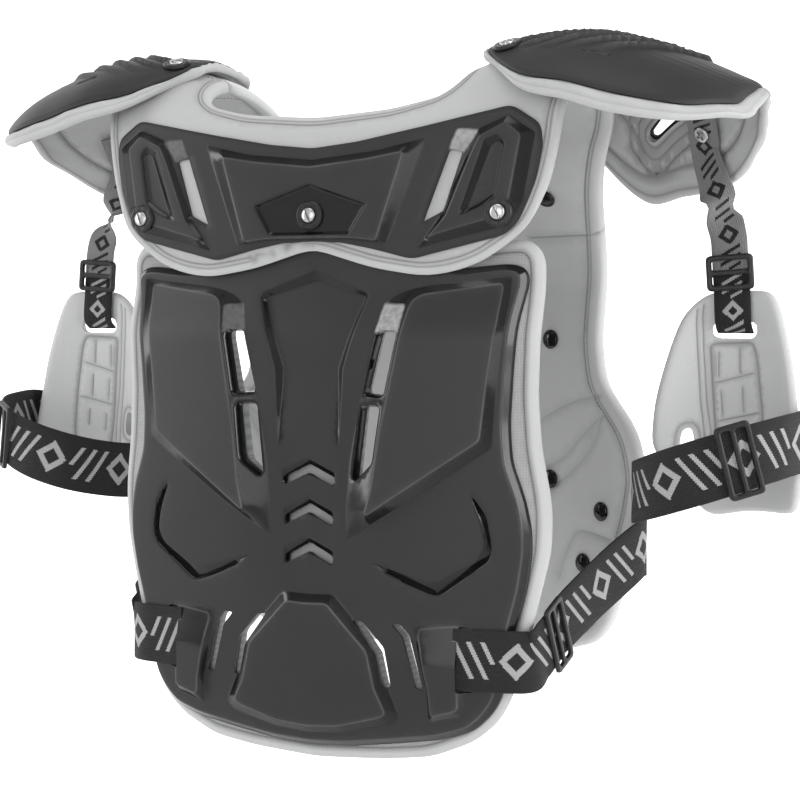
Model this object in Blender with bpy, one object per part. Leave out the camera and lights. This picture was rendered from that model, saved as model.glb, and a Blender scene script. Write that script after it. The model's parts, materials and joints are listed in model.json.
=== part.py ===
"""Roost deflector: motocross body armour vest, shown as it is worn.

Lengths are in millimetres until they become mesh points. The frame: +X is the wearer's right, +Y is the
way the wearer faces, +Z is up, and the origin is the shoulder seat between the two shoulder caps.
"""
import math

import bmesh
import bpy
from mathutils import Vector
from mathutils.geometry import delaunay_2d_cdt

MM = 0.001
GAP = 0.3

# Lower back plate and the pad under it
PLATE_HALF_WIDTH = 164.0
PLATE_TOP_Z = -105.0
PLATE_HEIGHT = 372.0
PLATE_THICKNESS = 2.5
PLATE_FACE_Y = -85.0
BACK_BOW = 2.0
BACK_SAG_TOP = 9.0
BACK_SAG_BOTTOM = 17.5
SAG_SPAN = 150.0
HEM_DIVE = 10.25
HEM_DIVE_FROM_Z = -184.0
HEM_DIVE_LENGTH = 48.0
RIM_WIDTH = 4.5
RIM_DROP = 6.0
VEE_DEPTH = 5.0
ISLAND_RISE_INNER_TOP = 3.0
ISLAND_RISE_INNER_BOTTOM = 11.0
ISLAND_RISE_OUTER_TOP = -1.5
ISLAND_RISE_OUTER_BOTTOM = 6.0
EYE_DEPTH = 4.0
HEX_RISE = 5.0
BLOCK_RISE = 6.5
VENT_COLLAR_WIDTH = 1.6
VENT_COLLAR_DROP = 8.0
VENT_PAD_MARGIN = 3.0

CHEVRON_COUNT = 3
CHEVRON_PITCH = 28.5
CHEVRON_TOP_Z = -266.5
CHEVRON_RISE = 9.5
CHEVRON_BAND = 11.0
CHEVRON_HALF_WIDTH = 22.0
CHEVRON_HALF_WIDTH_LOWER = 20.5

BACK_PAD_HALF_WIDTH = 175.0
BACK_PAD_TOP_Z = -110.0
BACK_PAD_HEIGHT = 377.0
BACK_PAD_THICKNESS = 9.0
BACK_PAD_CLEARANCE = 0.6
MARGIN_CURVE = 0.010
MARGIN_FROM = 158.0

# Upper back plate and its padding, which runs up over the shoulders
YOKE_FACE_Y = -84.0
YOKE_LEAN = 5.0
YOKE_SAG = 8.0
YOKE_HALF_WIDTH = 175.0
YOKE_TOP_Z = -18.0
YOKE_HEIGHT = 106.0
YOKE_THICKNESS = 2.5
PANEL_RISE = 4.0
UNIT_RISE = 4.0
PILL_DEPTH = 3.2
YOKE_PAD_HALF_WIDTH = 192.0
YOKE_PAD_BOTTOM_Z = -136.0
HEM_THICKNESS = 4.0
SHOULDER_THICKNESS = 10.0
HEM_HEIGHT = 34.0

# The arch of the shoulder padding, seen from the side
ARCH_FOOT_Z = -35.0
ARCH_FRONT_Y = 60.0
ARCH_HEIGHT = 58.0
SHOULDER_MIDDLE_X = 147.0
SHOULDER_HALF_WIDTH = 43.0
SHOULDER_DROP = 9.0

# Chest padding and the chest plate in front of it
CHEST_Y = 140.0
CHEST_SAG = 59.0
CHEST_HALF_WIDTH = 195.0
CHEST_BLEND = 110.0
CHEST_LINE_SHARES = (0.4, 0.6, 0.8, 1.0)
CHEST_LINE_HALF_WIDTH = 150.0
CHEST_BOTTOM_Z = -440.0
CHEST_THICKNESS = 12.0
CHEST_PLATE_INSET = 22.0
CHEST_PLATE_THICKNESS = 3.0
CHEST_PLATE_TOP_SHARE = 1.2
RIVET_RADIUS = 7.5
RIVET_HEIGHT = 3.2

# Shoulder caps
CAP_INNER_X = 116.0
CAP_LENGTH = 199.0
CAP_PAD_THICKNESS = 7.0
CAP_SHELL_THICKNESS = 2.5
CAP_ARC_DEGREES = 64.0
CAP_SEAT_CLEARANCE = 1.2
CAP_SHELL_SHARE = 0.94
CAP_SHELL_TURN = 0.88
CAP_SHELL_INSET = 4.0

# Upper-arm guards with their bands
GUARD_INWARD = 43.0
GUARD_X = CAP_INNER_X + CAP_LENGTH - GUARD_INWARD
GUARD_Y = 59.0
GUARD_RADIUS = 73.0
GUARD_TOP_Z = -146.0
GUARD_HEIGHT = 166.0
GUARD_HALF_WIDTH = 58.0
GUARD_PAD_THICKNESS = 8.0
GUARD_SHELL_THICKNESS = 2.5
GUARD_SHELL_INSET = 5.0
ARM_BAND_WIDTH = 44.0
ARM_BAND_Z = -272.0
ARM_BAND_SLOPE = 0.33

# Straps and small parts
STRAP_THICKNESS = 2.0
WAIST_STRAP_WIDTH = 44.0
WAIST_STRAP_Z = -406.0
WAIST_STRAP_FRONT_Z = -342.0
SLOT_HALF_HEIGHT = 23.5
HANGER_WIDTH = 27.0
BUCKLE_BAR = 4.0
BUCKLE_THICKNESS = 3.0
BUCKLE_LENGTH = 26.0
WASHER_RADIUS = 10.5
WASHER_HEIGHT = 2.2
WASHER_CLEARANCE = 0.5
SCREW_RADIUS = 5.3
SCREW_HEIGHT = 2.4
HANGER_SCREW_RADIUS = 6.0
BUCKLE_CLEARANCE = 0.5
WAIST_CLEARANCE = 0.8
ARM_BAND_CLEARANCE = 0.6
HANGER_CLEARANCE = 4.0
HANGER_GUARD_CLEARANCE = 2.0
HANGER_SCREW_CLEARANCE = 0.9
WAIST_CHEST_CLEARANCE = 0.4

# The waist strap round the side: share of the way out from the plate's edge to the chest's, and Y
WAIST_SIDE_PATH = ((0.0, -61.0), (0.1, -47.0), (0.16, -29.0), (0.23, -11.0), (0.58, 32.0), (1.06, 78.0))
# Its end on the chest: inward of the edge of the chest padding
WAIST_CHEST_INSETS = (7.0, 16.0, 26.0)
# The hanging straps down to the guard: outward of its middle, forward of its face, above its top
HANGER_FALL = ((-3.0, 1.5, 42.0), (-1.0, 0.0, 28.0), (0.0, 0.0, 13.0), (1.0, 0.0, -2.0))
# The arm band behind the arm: outward of the guard's middle, and Y
ARM_BAND_REAR = ((-60.0, 22.0), (-52.0, -8.0), (-31.0, -35.0), (0.0, -45.0), (31.0, -35.0), (52.0, -8.0),
                 (60.0, 22.0))

HEM_LINE_SHARES = (0.0, 0.33, 0.67, 1.0)

# Places on the lower plate, as shares of its half width and its height from the top
PLATE_OUTLINE = (
    (0.0, 0.0), (0.43, 0.045), (0.67, 0.07), (0.89, 0.06), (0.95, 0.067), (0.975, 0.087), (0.945, 0.16),
    (0.925, 0.255), (0.91, 0.363), (0.92, 0.433), (0.945, 0.465), (0.975, 0.503), (1.0, 0.56),
    (1.0, 0.61), (0.975, 0.677), (0.927, 0.753), (0.87, 0.88), (0.84, 0.906), (0.8, 0.928),
    (0.738, 0.952), (0.6, 0.97), (0.365, 0.985), (0.18, 0.996), (0.0, 1.0),
)
VEE_OUTER = ((0.0, 0.078), (0.284, 0.116), (0.168, 0.261), (0.158, 0.347))
VEE_FLOOR = ((0.0, 0.098), (0.255, 0.124), (0.145, 0.261))
FIELD_OUTER = (
    (0.915, 0.083), (0.9, 0.178), (0.865, 0.323), (0.85, 0.406), (0.44, 0.524), (0.186, 0.592),
    (0.188, 0.524), (0.2, 0.444), (0.232, 0.363), (0.272, 0.277), (0.312, 0.194), (0.355, 0.133),
    (0.4, 0.117), (0.465, 0.107), (0.55, 0.1),
)
FIELD_ISLAND = (
    (0.872, 0.097), (0.86, 0.177), (0.83, 0.272), (0.8, 0.392), (0.55, 0.466), (0.3, 0.54),
    (0.332, 0.487), (0.363, 0.384), (0.424, 0.247), (0.47, 0.14), (0.488, 0.126), (0.525, 0.118),
    (0.615, 0.113),
)
LONG_VENTS = (
    ((0.34, 0.19), (0.42, 0.19), (0.366, 0.31), (0.274, 0.307)),
    ((0.266, 0.333), (0.35, 0.333), (0.32, 0.438), (0.229, 0.473)),
)
EYE_OUTER = (
    (0.745, 0.497), (0.842, 0.589), (0.832, 0.616), (0.777, 0.642), (0.628, 0.681), (0.58, 0.688),
    (0.488, 0.673), (0.287, 0.628), (0.56, 0.67), (0.628, 0.664), (0.77, 0.621), (0.81, 0.589),
    (0.768, 0.533),
)
EYE_VALLEY = ((0.8, 0.557), (0.826, 0.592), (0.805, 0.617), (0.772, 0.632), (0.628, 0.673), (0.572, 0.679))
HEX_OUTER = (
    (0.0, 0.698), (0.125, 0.696), (0.341, 0.8), (0.381, 0.874), (0.433, 0.93), (0.39, 0.945),
    (0.17, 0.968), (0.0, 0.974),
)
HEX_TOP = (
    (0.0, 0.717), (0.1, 0.715), (0.29, 0.803), (0.325, 0.874), (0.378, 0.922), (0.34, 0.93),
    (0.15, 0.952), (0.0, 0.957),
)
HEX_VENT = ((0.2, 0.75), (0.228, 0.752), (0.33, 0.801), (0.372, 0.871), (0.35, 0.872), (0.308, 0.808))
LOWER_VENT = ((0.395, 0.749), (0.436, 0.747), (0.479, 0.768), (0.537, 0.871), (0.503, 0.871), (0.445, 0.774))
BLOCK_OUTER = ((0.73, 0.728), (0.728, 0.92), (0.56, 0.938), (0.555, 0.88), (0.5, 0.77), (0.48, 0.735))
BLOCK_TOP = ((0.703, 0.745), (0.703, 0.905), (0.585, 0.92), (0.578, 0.88), (0.53, 0.78), (0.52, 0.755))
SLOT_INNER = 0.695
SLOT_OUTER = 0.757

# Half width and height shares of the lower pad's outline
BACK_PAD_OUTLINE = (
    (0.0, 0.0), (0.45, 0.02), (0.9, 0.0), (0.96, 0.03), (0.96, 0.16), (0.95, 0.29), (0.963, 0.39),
    (0.994, 0.477), (1.0, 0.52), (0.994, 0.584), (0.96, 0.653), (0.92, 0.732), (0.85, 0.849),
    (0.79, 0.905), (0.69, 0.947), (0.514, 0.981), (0.314, 0.992), (0.0, 1.0),
)

# Places on the upper plate, as shares of its half width and its height from the top
YOKE_OUTLINE = (
    (0.0, 0.245), (0.2, 0.21), (0.49, 0.123), (0.69, 0.057), (0.86, 0.0), (0.975, 0.125),
    (0.985, 0.245), (0.96, 0.49), (0.92, 0.66), (0.891, 0.764), (0.834, 0.849), (0.451, 1.0),
    (0.28, 0.93), (0.137, 0.885), (0.0, 0.875),
)
PANEL_OUTER = ((0.0, 0.32), (0.3, 0.27), (0.514, 0.19), (0.345, 0.895), (0.19, 0.865), (0.0, 0.86))
PANEL_TOP = ((0.0, 0.375), (0.26, 0.33), (0.417, 0.288), (0.305, 0.872), (0.19, 0.852), (0.0, 0.848))
PENTAGON = ((0.0, 0.48), (0.263, 0.627), (0.185, 0.835), (0.0, 0.835))
UNIT_OUTER = (
    (0.64, 0.14), (0.85, 0.06), (0.95, 0.17), (0.9, 0.5), (0.82, 0.56), (0.74, 0.66), (0.72, 0.8),
    (0.55, 0.88), (0.6, 0.6),
)
UNIT_TOP = (
    (0.69, 0.19), (0.83, 0.13), (0.905, 0.22), (0.865, 0.46), (0.79, 0.52), (0.7, 0.63), (0.69, 0.76),
    (0.61, 0.79), (0.65, 0.6),
)
PILL = ((0.74, 0.24), (0.8, 0.21), (0.84, 0.25), (0.82, 0.42), (0.76, 0.48), (0.7, 0.56), (0.7, 0.45))
YOKE_VENT = ((0.6, 0.27), (0.635, 0.29), (0.57, 0.65), (0.5, 0.73))
YOKE_SCREWS = (("centre", 0.0, 0.7), ("right", 0.823, 0.7), ("left", -0.823, 0.7))

# Outline of the shoulder padding: half width share, and where along the back of it, as a share of the
# straight part for values below 0 and of the arch above 0
YOKE_PAD_OUTLINE = (
    (0.0, -0.8), (0.25, -0.94), (0.45, -1.0), (0.57, -0.97), (0.69, -0.9), (0.83, -0.74), (0.9, -0.64),
    (0.96, -0.36), (0.995, -0.1), (1.0, 0.15), (0.995, 0.5), (0.985, 0.94), (0.55, 0.94),
    (0.545, 0.7), (0.53, 0.45), (0.47, 0.33), (0.31, 0.22), (0.0, 0.16),
)
CHEST_OUTLINE = (
    (0.535, 0.0), (0.51, 0.35), (0.47, 0.7), (0.42, 0.97), (0.32, 1.06), (0.17, 1.095), (0.0, 1.1),
)
CHEST_SIDE = (
    (0.975, 0.0), (0.965, 0.5), (0.93, 0.9), (0.86, 1.1), (0.81, 1.215), (0.79, 1.284), (0.775, 1.375),
    (0.8, 1.45), (0.86, 1.487), (0.93, 1.525), (0.97, 1.563), (1.0, 1.627), (0.975, 1.694),
    (0.96, 1.72), (0.865, 1.88), (0.83, 1.92), (0.76, 1.955), (0.6, 1.98), (0.45, 1.99), (0.3, 1.996),
    (0.15, 2.0), (0.0, 2.0),
)

# Stations of the shoulder cap: share of its length, then its rear edge, ridge and front edge
CAP_STATIONS = (
    # share, rear_y, rear_z, ridge_y, ridge_rise, front_y, front_z
    (0.0, -43.0, 24.0, -6.0, -2.0, 39.0, 23.0),
    (0.2, -80.0, -4.0, -2.0, 1.5, 88.0, -40.0),
    (0.39, -90.0, -14.0, 5.0, 4.0, 105.0, -77.0),
    (0.56, -90.0, -24.0, 8.0, 1.5, 99.0, -74.0),
    (0.74, -80.0, -30.0, 8.0, -9.0, 84.0, -69.0),
    (0.905, -47.0, -32.0, 6.0, -25.0, 50.0, -55.0),
    (1.0, -12.0, -42.0, 2.0, -38.0, 16.0, -47.0),
)
CAP_OUTLINE = (
    (0.0, 0.9), (0.0, 0.0), (0.0, -0.9), (0.05, -1.0), (0.3, -1.0), (0.6, -1.0), (0.85, -1.0),
    (0.97, -0.85), (1.0, -0.4), (1.0, 0.4), (0.97, 0.85), (0.85, 1.0), (0.6, 1.0), (0.3, 1.0), (0.05, 1.0),
)
CAP_TURN_SCALE = 100.0
CAP_WASHER_SHARE = 0.1
CAP_WASHER_TURN = -0.54
HANGER_SHARE = 0.7
HANGER_TURNS = (0.54, 0.68, 0.8)

# Outline of an arm guard: outward share of its half width, share of its height
GUARD_OUTLINE = (
    (-0.17, 0.0), (0.5, 0.0), (0.63, 0.09), (0.74, 0.22), (0.83, 0.35), (0.9, 0.5), (1.0, 0.7),
    (0.99, 0.88), (0.9, 0.965), (0.23, 0.965), (-0.28, 1.0), (-0.98, 0.69), (-0.965, 0.58),
    (-0.93, 0.48), (-0.85, 0.37), (-0.74, 0.24), (-0.6, 0.11), (-0.38, 0.03),
)
GUARD_TOP_SLOT = ((-0.25, 0.135), (0.33, 0.135), (0.33, 0.21), (-0.25, 0.21))

# Rivets of the chest lining: share of the chest half width, share down the front, and the clearance of
# its seat; one on each side
CHEST_RIVETS = (
    (0.63, 1.1, 0.8), (0.554, 1.368, 0.45), (0.554, 1.642, 0.45), (0.81, 1.696, 0.45), (0.72, 1.8, 0.45),
)


def lerp(start, end, share):
    return start + (end - start) * share


def smooth_step(share):
    share = min(max(share, 0.0), 1.0)
    return share * share * (3.0 - 2.0 * share)


def mirrored(points):
    """The same outline on the other side, in the same turning direction."""
    return [(-x, z) for x, z in reversed(points)]


def symmetric(points):
    """A closed outline from its right half, whose first and last points lie on the middle line."""
    left = [point for point in mirrored(points) if abs(point[0]) > 1e-9]
    return list(points) + left


def smooth_curve(points, steps, closed=False):
    """Catmull-Rom curve through points of any dimension, with a number of steps in each span."""
    count = len(points)
    spans = count if closed else count - 1
    result = []
    for span in range(spans):
        around = []
        for offset in (-1, 0, 1, 2):
            index = span + offset
            index = index % count if closed else min(max(index, 0), count - 1)
            around.append(points[index])
        for step in range(steps):
            t = step / steps
            result.append(tuple(
                0.5 * (2 * b + (c - a) * t + (2 * a - 5 * b + 4 * c - d) * t * t
                       + (3 * b - a - 3 * c + d) * t ** 3)
                for a, b, c, d in zip(*around)))
    if not closed:
        result.append(tuple(points[-1]))
    return result


def segment_distance(point, start, end):
    px, pz = point[0] - start[0], point[1] - start[1]
    dx, dz = end[0] - start[0], end[1] - start[1]
    length = dx * dx + dz * dz
    share = 0.0 if length == 0 else min(max((px * dx + pz * dz) / length, 0.0), 1.0)
    return math.hypot(px - share * dx, pz - share * dz)


def chain_distance(point, chain, closed=True):
    pairs = zip(chain, chain[1:] + chain[:1]) if closed else zip(chain, chain[1:])
    return min(segment_distance(point, start, end) for start, end in pairs)


def inside(point, polygon):
    x, z = point
    result = False
    for (ax, az), (bx, bz) in zip(polygon, polygon[1:] + polygon[:1]):
        if (az > z) != (bz > z) and x < ax + (z - az) * (bx - ax) / (bz - az):
            result = not result
    return result


def split_line(line, step, closed):
    """The same line with its long segments cut into parts of about one step."""
    count = len(line)
    result = []
    for index in range(count if closed else count - 1):
        start, end = line[index], line[(index + 1) % count]
        parts = max(round(math.hypot(end[0] - start[0], end[1] - start[1]) / step), 1)
        for part in range(parts):
            share = part / parts
            result.append((lerp(start[0], end[0], share), lerp(start[1], end[1], share)))
    if not closed:
        result.append(line[-1])
    return result


def grown(polygon, amount):
    """Each corner of a closed outline moved outward along its bisector; inward if amount is below 0."""
    area = sum(ax * bz - bx * az for (ax, az), (bx, bz) in zip(polygon, polygon[1:] + polygon[:1]))
    turn = 1.0 if area > 0 else -1.0
    result = []
    count = len(polygon)
    for index, (x, z) in enumerate(polygon):
        ax, az = polygon[index - 1]
        bx, bz = polygon[(index + 1) % count]
        first = Vector((x - ax, z - az)).normalized()
        second = Vector((bx - x, bz - z)).normalized()
        normal = Vector((first.y + second.y, -first.x - second.x))
        if normal.length < 1e-6:
            normal = Vector((first.y, -first.x))
        normal.normalize()
        cosine = max(normal.x * first.y - normal.y * first.x, 0.5)
        result.append((x + turn * amount * normal.x / cosine, z + turn * amount * normal.y / cosine))
    return result


def ramp_share(point, outer, inner, inner_closed=True):
    """0 at the outer loop, 1 at the inner loop and inside it, and even between the two."""
    if not inside(point, outer):
        return 0.0
    if inner_closed and inside(point, inner):
        return 1.0
    to_outer = chain_distance(point, outer)
    to_inner = chain_distance(point, inner, inner_closed)
    return to_outer / max(to_outer + to_inner, 1e-6)


def make_material(name, colour, roughness, metallic=0.0):
    material = bpy.data.materials.new(name)
    material.use_nodes = True
    shader = material.node_tree.nodes["Principled BSDF"]
    shader.inputs["Base Color"].default_value = (*colour, 1.0)
    shader.inputs["Roughness"].default_value = roughness
    shader.inputs["Metallic"].default_value = metallic
    return material


def black_plastic(name):
    return make_material(name + "_plastic", (0.035, 0.035, 0.037), 0.5)


def grey_cloth(name):
    return make_material(name + "_cloth", (0.55, 0.56, 0.56), 0.9)


def black_web(name):
    return make_material(name + "_webbing", (0.02, 0.02, 0.022), 0.85)


def bright_metal(name):
    return make_material(name + "_metal", (0.7, 0.7, 0.7), 0.3, 1.0)


def mesh_object(name, points, faces, material, sharp_degrees=30.0):
    """One closed solid from points in millimetres, with its faces turned outward."""
    mesh = bpy.data.meshes.new(name)
    shape = bmesh.new()
    verts = [shape.verts.new(Vector(point) * MM) for point in points]
    for face in faces:
        shape.faces.new([verts[index] for index in face])
    bmesh.ops.recalc_face_normals(shape, faces=shape.faces)
    shape.to_mesh(mesh)
    shape.free()
    mesh.materials.append(material)
    mesh.shade_smooth()
    mesh.set_sharp_from_angle(angle=math.radians(sharp_degrees))
    piece = bpy.data.objects.new(name, mesh)
    bpy.context.scene.collection.objects.link(piece)
    return piece


def sheet(name, material, outline, place, front, back, cell, loops=(), holes=(), chains=()):
    """A closed sheet over a flat outline.

    place(p, q, depth) gives a point in space, and front and back give the depth of the two faces at
    (p, q). Loops and chains are lines that the faces follow, holes are cut right through, and cell is
    the spacing of the points between the lines, along p and along q.
    """
    points, edges = [], []

    def add_line(whole, closed):
        line = split_line(whole, 1.3 * max(cell), closed)
        start = len(points)
        points.extend(Vector(point) for point in line)
        last = len(line) if closed else len(line) - 1
        edges.extend((start + i, start + (i + 1) % len(line)) for i in range(last))

    closed_lines = [outline, *loops, *holes]
    for line in closed_lines:
        add_line(line, True)
    for line in chains:
        add_line(line, False)
    cell_p, cell_q = cell
    columns = int(max(abs(point[0]) for point in outline) / cell_p)
    rows = int(max(abs(point[1]) for point in outline) / cell_q)
    for row in range(-rows, rows + 1):
        for column in range(-columns, columns + 1):
            point = (column * cell_p, row * cell_q)
            if not inside(point, outline) or any(inside(point, hole) for hole in holes):
                continue
            near = min(chain_distance(point, line) for line in closed_lines)
            if chains:
                near = min(near, min(chain_distance(point, line, False) for line in chains))
            if near > 0.38 * min(cell):
                points.append(Vector(point))
    flat, _, triangles, *_ = delaunay_2d_cdt(points, edges, [], 0, 1e-4)
    kept = []
    for triangle in triangles:
        centre = (sum(flat[i].x for i in triangle) / 3.0, sum(flat[i].y for i in triangle) / 3.0)
        if inside(centre, outline) and not any(inside(centre, hole) for hole in holes):
            kept.append(tuple(triangle))
    used = sorted({index for triangle in kept for index in triangle})
    number = {index: order for order, index in enumerate(used)}
    count = len(used)
    solid_points = [place(flat[i].x, flat[i].y, front(flat[i].x, flat[i].y)) for i in used]
    solid_points += [place(flat[i].x, flat[i].y, back(flat[i].x, flat[i].y)) for i in used]
    faces = []
    border = {}
    for triangle in kept:
        a, b, c = (number[index] for index in triangle)
        faces.append((a, b, c))
        faces.append((c + count, b + count, a + count))
        for start, end in ((a, b), (b, c), (c, a)):
            if (end, start) in border:
                del border[(end, start)]
            else:
                border[(start, end)] = True
    for start, end in border:
        faces.append((end, start, start + count, end + count))
    return mesh_object(name, solid_points, faces, material)


def padded(outline, thickness, roll):
    """Front and back depth of a pad whose edge is rolled over a width."""
    def front(p, q):
        near = min(chain_distance((p, q), outline) / roll, 1.0)
        return 0.36 * thickness * (1.0 - math.sqrt(max(1.0 - (1.0 - near) ** 2, 0.0)))

    def back(p, q):
        return thickness - front(p, q)

    return front, back


def strap(name, material, path, across, width, thickness, steps=3):
    """A flat band along a curve through path; across gives the width direction at each path point."""
    spine = [Vector(point) for point in smooth_curve(path, steps)]
    sides = [Vector(side).normalized() for side in smooth_curve(across, steps)]
    points = []
    for index, centre in enumerate(spine):
        before = spine[max(index - 1, 0)]
        after = spine[min(index + 1, len(spine) - 1)]
        along = (after - before).normalized()
        side = (sides[index] - along * sides[index].dot(along)).normalized()
        normal = side.cross(along)
        for wide, thick in ((-0.5, -0.5), (0.5, -0.5), (0.5, 0.5), (-0.5, 0.5)):
            points.append(centre + side * wide * width + normal * thick * thickness)
    faces = [(3, 2, 1, 0)]
    for base in range(0, 4 * (len(spine) - 1), 4):
        faces += [(base, base + 1, base + 5), (base, base + 5, base + 4),
                  (base + 3, base + 7, base + 6), (base + 3, base + 6, base + 2),
                  (base + 1, base + 2, base + 6, base + 5), (base + 3, base, base + 4, base + 7)]
    base = 4 * (len(spine) - 1)
    faces.append((base, base + 1, base + 2, base + 3))
    return mesh_object(name, points, faces, material)


def frame_at(origin, normal, up):
    """Three axes for a small part: right, up and outward from the face that it sits on."""
    outward = Vector(normal).normalized()
    upward = (Vector(up) - outward * Vector(up).dot(outward)).normalized()
    return Vector(origin), upward.cross(outward), upward, outward


def turned(name, material, frame, profile, sides=16):
    """A round part from a profile of (radius, height) rows between two flat or pointed ends."""
    origin, right, up, outward = frame
    points, faces = [], []
    for radius, height in profile:
        for side in range(sides):
            angle = 2 * math.pi * side / sides
            points.append(origin + outward * height
                          + right * radius * math.cos(angle) + up * radius * math.sin(angle))
    for row in range(len(profile) - 1):
        for side in range(sides):
            after = (side + 1) % sides
            faces.append((row * sides + side, row * sides + after,
                          (row + 1) * sides + after, (row + 1) * sides + side))
    faces.append(tuple(range(sides))[::-1])
    faces.append(tuple(range((len(profile) - 1) * sides, len(profile) * sides)))
    return mesh_object(name, points, faces, material, 40.0)


def buckle(name, frame, strap_width):
    """A flat slider with a middle bar and two windows, lying on a strap's face."""
    origin, right, up, outward = frame
    half_wide = strap_width / 2 + BUCKLE_BAR
    half_long = BUCKLE_LENGTH / 2
    outline = [(-half_wide, -half_long), (half_wide, -half_long), (half_wide, half_long),
               (-half_wide, half_long)]
    windows = []
    for low in (-half_long + BUCKLE_BAR, BUCKLE_BAR / 2):
        high = low + half_long - 1.5 * BUCKLE_BAR
        windows.append([(-half_wide + BUCKLE_BAR, low), (half_wide - BUCKLE_BAR, low),
                        (half_wide - BUCKLE_BAR, high), (-half_wide + BUCKLE_BAR, high)])

    def place(p, q, depth):
        return origin + right * p + up * q + outward * (GAP + BUCKLE_THICKNESS - depth)

    return sheet(name, black_plastic(name), outline, place, lambda p, q: 0.0,
                 lambda p, q: BUCKLE_THICKNESS, (strap_width, strap_width), holes=windows)


def plate_point(share):
    return share[0] * PLATE_HALF_WIDTH, PLATE_TOP_Z - share[1] * PLATE_HEIGHT


def plate_points(shares):
    return [plate_point(share) for share in shares]


def back_y(x, z):
    """Y of the lower plate's face, before its relief."""
    down = (PLATE_TOP_Z - z) / PLATE_HEIGHT
    bow = BACK_BOW * math.sin(math.pi * min(max(down, 0.0), 1.0))
    sag = lerp(BACK_SAG_TOP, BACK_SAG_BOTTOM, down) * (x / SAG_SPAN) ** 2
    margin = MARGIN_CURVE * max(abs(x) - MARGIN_FROM, 0.0) ** 2
    dive = HEM_DIVE * smooth_step((z - HEM_DIVE_FROM_Z) / HEM_DIVE_LENGTH)
    return PLATE_FACE_Y - bow + sag + margin + dive


def back_place(x, z, depth):
    return x, back_y(x, z) + depth, z


PLATE_LOOP = symmetric(plate_points(PLATE_OUTLINE))
RIM_LOOP = grown(PLATE_LOOP, -RIM_WIDTH)
VEE_LOOP = symmetric(plate_points(VEE_OUTER) + [(0.0, plate_point(VEE_OUTER[-1])[1])])
VEE_FLOOR_LOOP = symmetric(plate_points(VEE_FLOOR) + [(0.0, plate_point(VEE_FLOOR[-1])[1])])
HEX_LOOP = symmetric(plate_points(HEX_OUTER))
HEX_TOP_LOOP = symmetric(plate_points(HEX_TOP))
RIGHT_FIELD = plate_points(FIELD_OUTER)
RIGHT_ISLAND = plate_points(FIELD_ISLAND)
RIGHT_EYE = plate_points(EYE_OUTER)
RIGHT_VALLEY = plate_points(EYE_VALLEY)
RIGHT_BLOCK = plate_points(BLOCK_OUTER)
RIGHT_BLOCK_TOP = plate_points(BLOCK_TOP)
COLLARED_VENTS = [plate_points(vent) for vent in LONG_VENTS] + [plate_points(LOWER_VENT)]
RIGHT_HEX_VENT = plate_points(HEX_VENT)
RIGHT_SLOT = [
    (SLOT_INNER * PLATE_HALF_WIDTH, WAIST_STRAP_Z - SLOT_HALF_HEIGHT),
    (SLOT_OUTER * PLATE_HALF_WIDTH, WAIST_STRAP_Z - SLOT_HALF_HEIGHT),
    (SLOT_OUTER * PLATE_HALF_WIDTH, WAIST_STRAP_Z + SLOT_HALF_HEIGHT),
    (SLOT_INNER * PLATE_HALF_WIDTH, WAIST_STRAP_Z + SLOT_HALF_HEIGHT),
]


def chevron_loops():
    loops = []
    for order in range(CHEVRON_COUNT):
        top = CHEVRON_TOP_Z - order * CHEVRON_PITCH
        half = CHEVRON_HALF_WIDTH if order == 0 else CHEVRON_HALF_WIDTH_LOWER
        side = top - CHEVRON_RISE
        loops.append([(0.0, top), (half, side), (half, side - CHEVRON_BAND), (0.0, top - CHEVRON_BAND),
                      (-half, side - CHEVRON_BAND), (-half, side)])
    return loops


CHEVRONS = chevron_loops()


def island_depth(x, z):
    """The side panels stand higher towards the spine and towards the bottom."""
    xs = [point[0] for point in RIGHT_ISLAND]
    zs = [point[1] for point in RIGHT_ISLAND]
    across = min(max((x - min(xs)) / (max(xs) - min(xs)), 0.0), 1.0)
    down = min(max((max(zs) - z) / (max(zs) - min(zs)), 0.0), 1.0)
    inner = lerp(ISLAND_RISE_INNER_TOP, ISLAND_RISE_INNER_BOTTOM, down)
    outer = lerp(ISLAND_RISE_OUTER_TOP, ISLAND_RISE_OUTER_BOTTOM, down)
    return -lerp(inner, outer, across)


def plate_depth(x, z):
    """Relief of the lower plate: above 0 it lies nearer to the body, below 0 it stands out."""
    point = (x, z)
    beside = (abs(x), z)
    depth = RIM_DROP * (1.0 - min(chain_distance(point, PLATE_LOOP) / RIM_WIDTH, 1.0))
    depth += VEE_DEPTH * ramp_share(point, VEE_LOOP, VEE_FLOOR_LOOP)
    depth += island_depth(*beside) * ramp_share(beside, RIGHT_FIELD, RIGHT_ISLAND)
    depth += EYE_DEPTH * ramp_share(beside, RIGHT_EYE, RIGHT_VALLEY, False)
    depth -= HEX_RISE * ramp_share(point, HEX_LOOP, HEX_TOP_LOOP)
    depth -= BLOCK_RISE * ramp_share(beside, RIGHT_BLOCK, RIGHT_BLOCK_TOP)
    for vent in [*COLLARED_VENTS, *CHEVRONS]:
        near = chain_distance(beside, vent)
        if near < VENT_COLLAR_WIDTH:
            depth += VENT_COLLAR_DROP * (1.0 - near / VENT_COLLAR_WIDTH)
    return depth


def plate_back(x, z):
    return plate_depth(x, z) + PLATE_THICKNESS


def both_sides(loops):
    return [*loops, *(mirrored(loop) for loop in loops)]


def hem_lines(half_width):
    """Level lines where the top of the back dives under the hem, so that its facets follow the bend."""
    return [[(-half_width, HEM_DIVE_FROM_Z + HEM_DIVE_LENGTH * share),
             (half_width, HEM_DIVE_FROM_Z + HEM_DIVE_LENGTH * share)] for share in HEM_LINE_SHARES]


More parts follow.
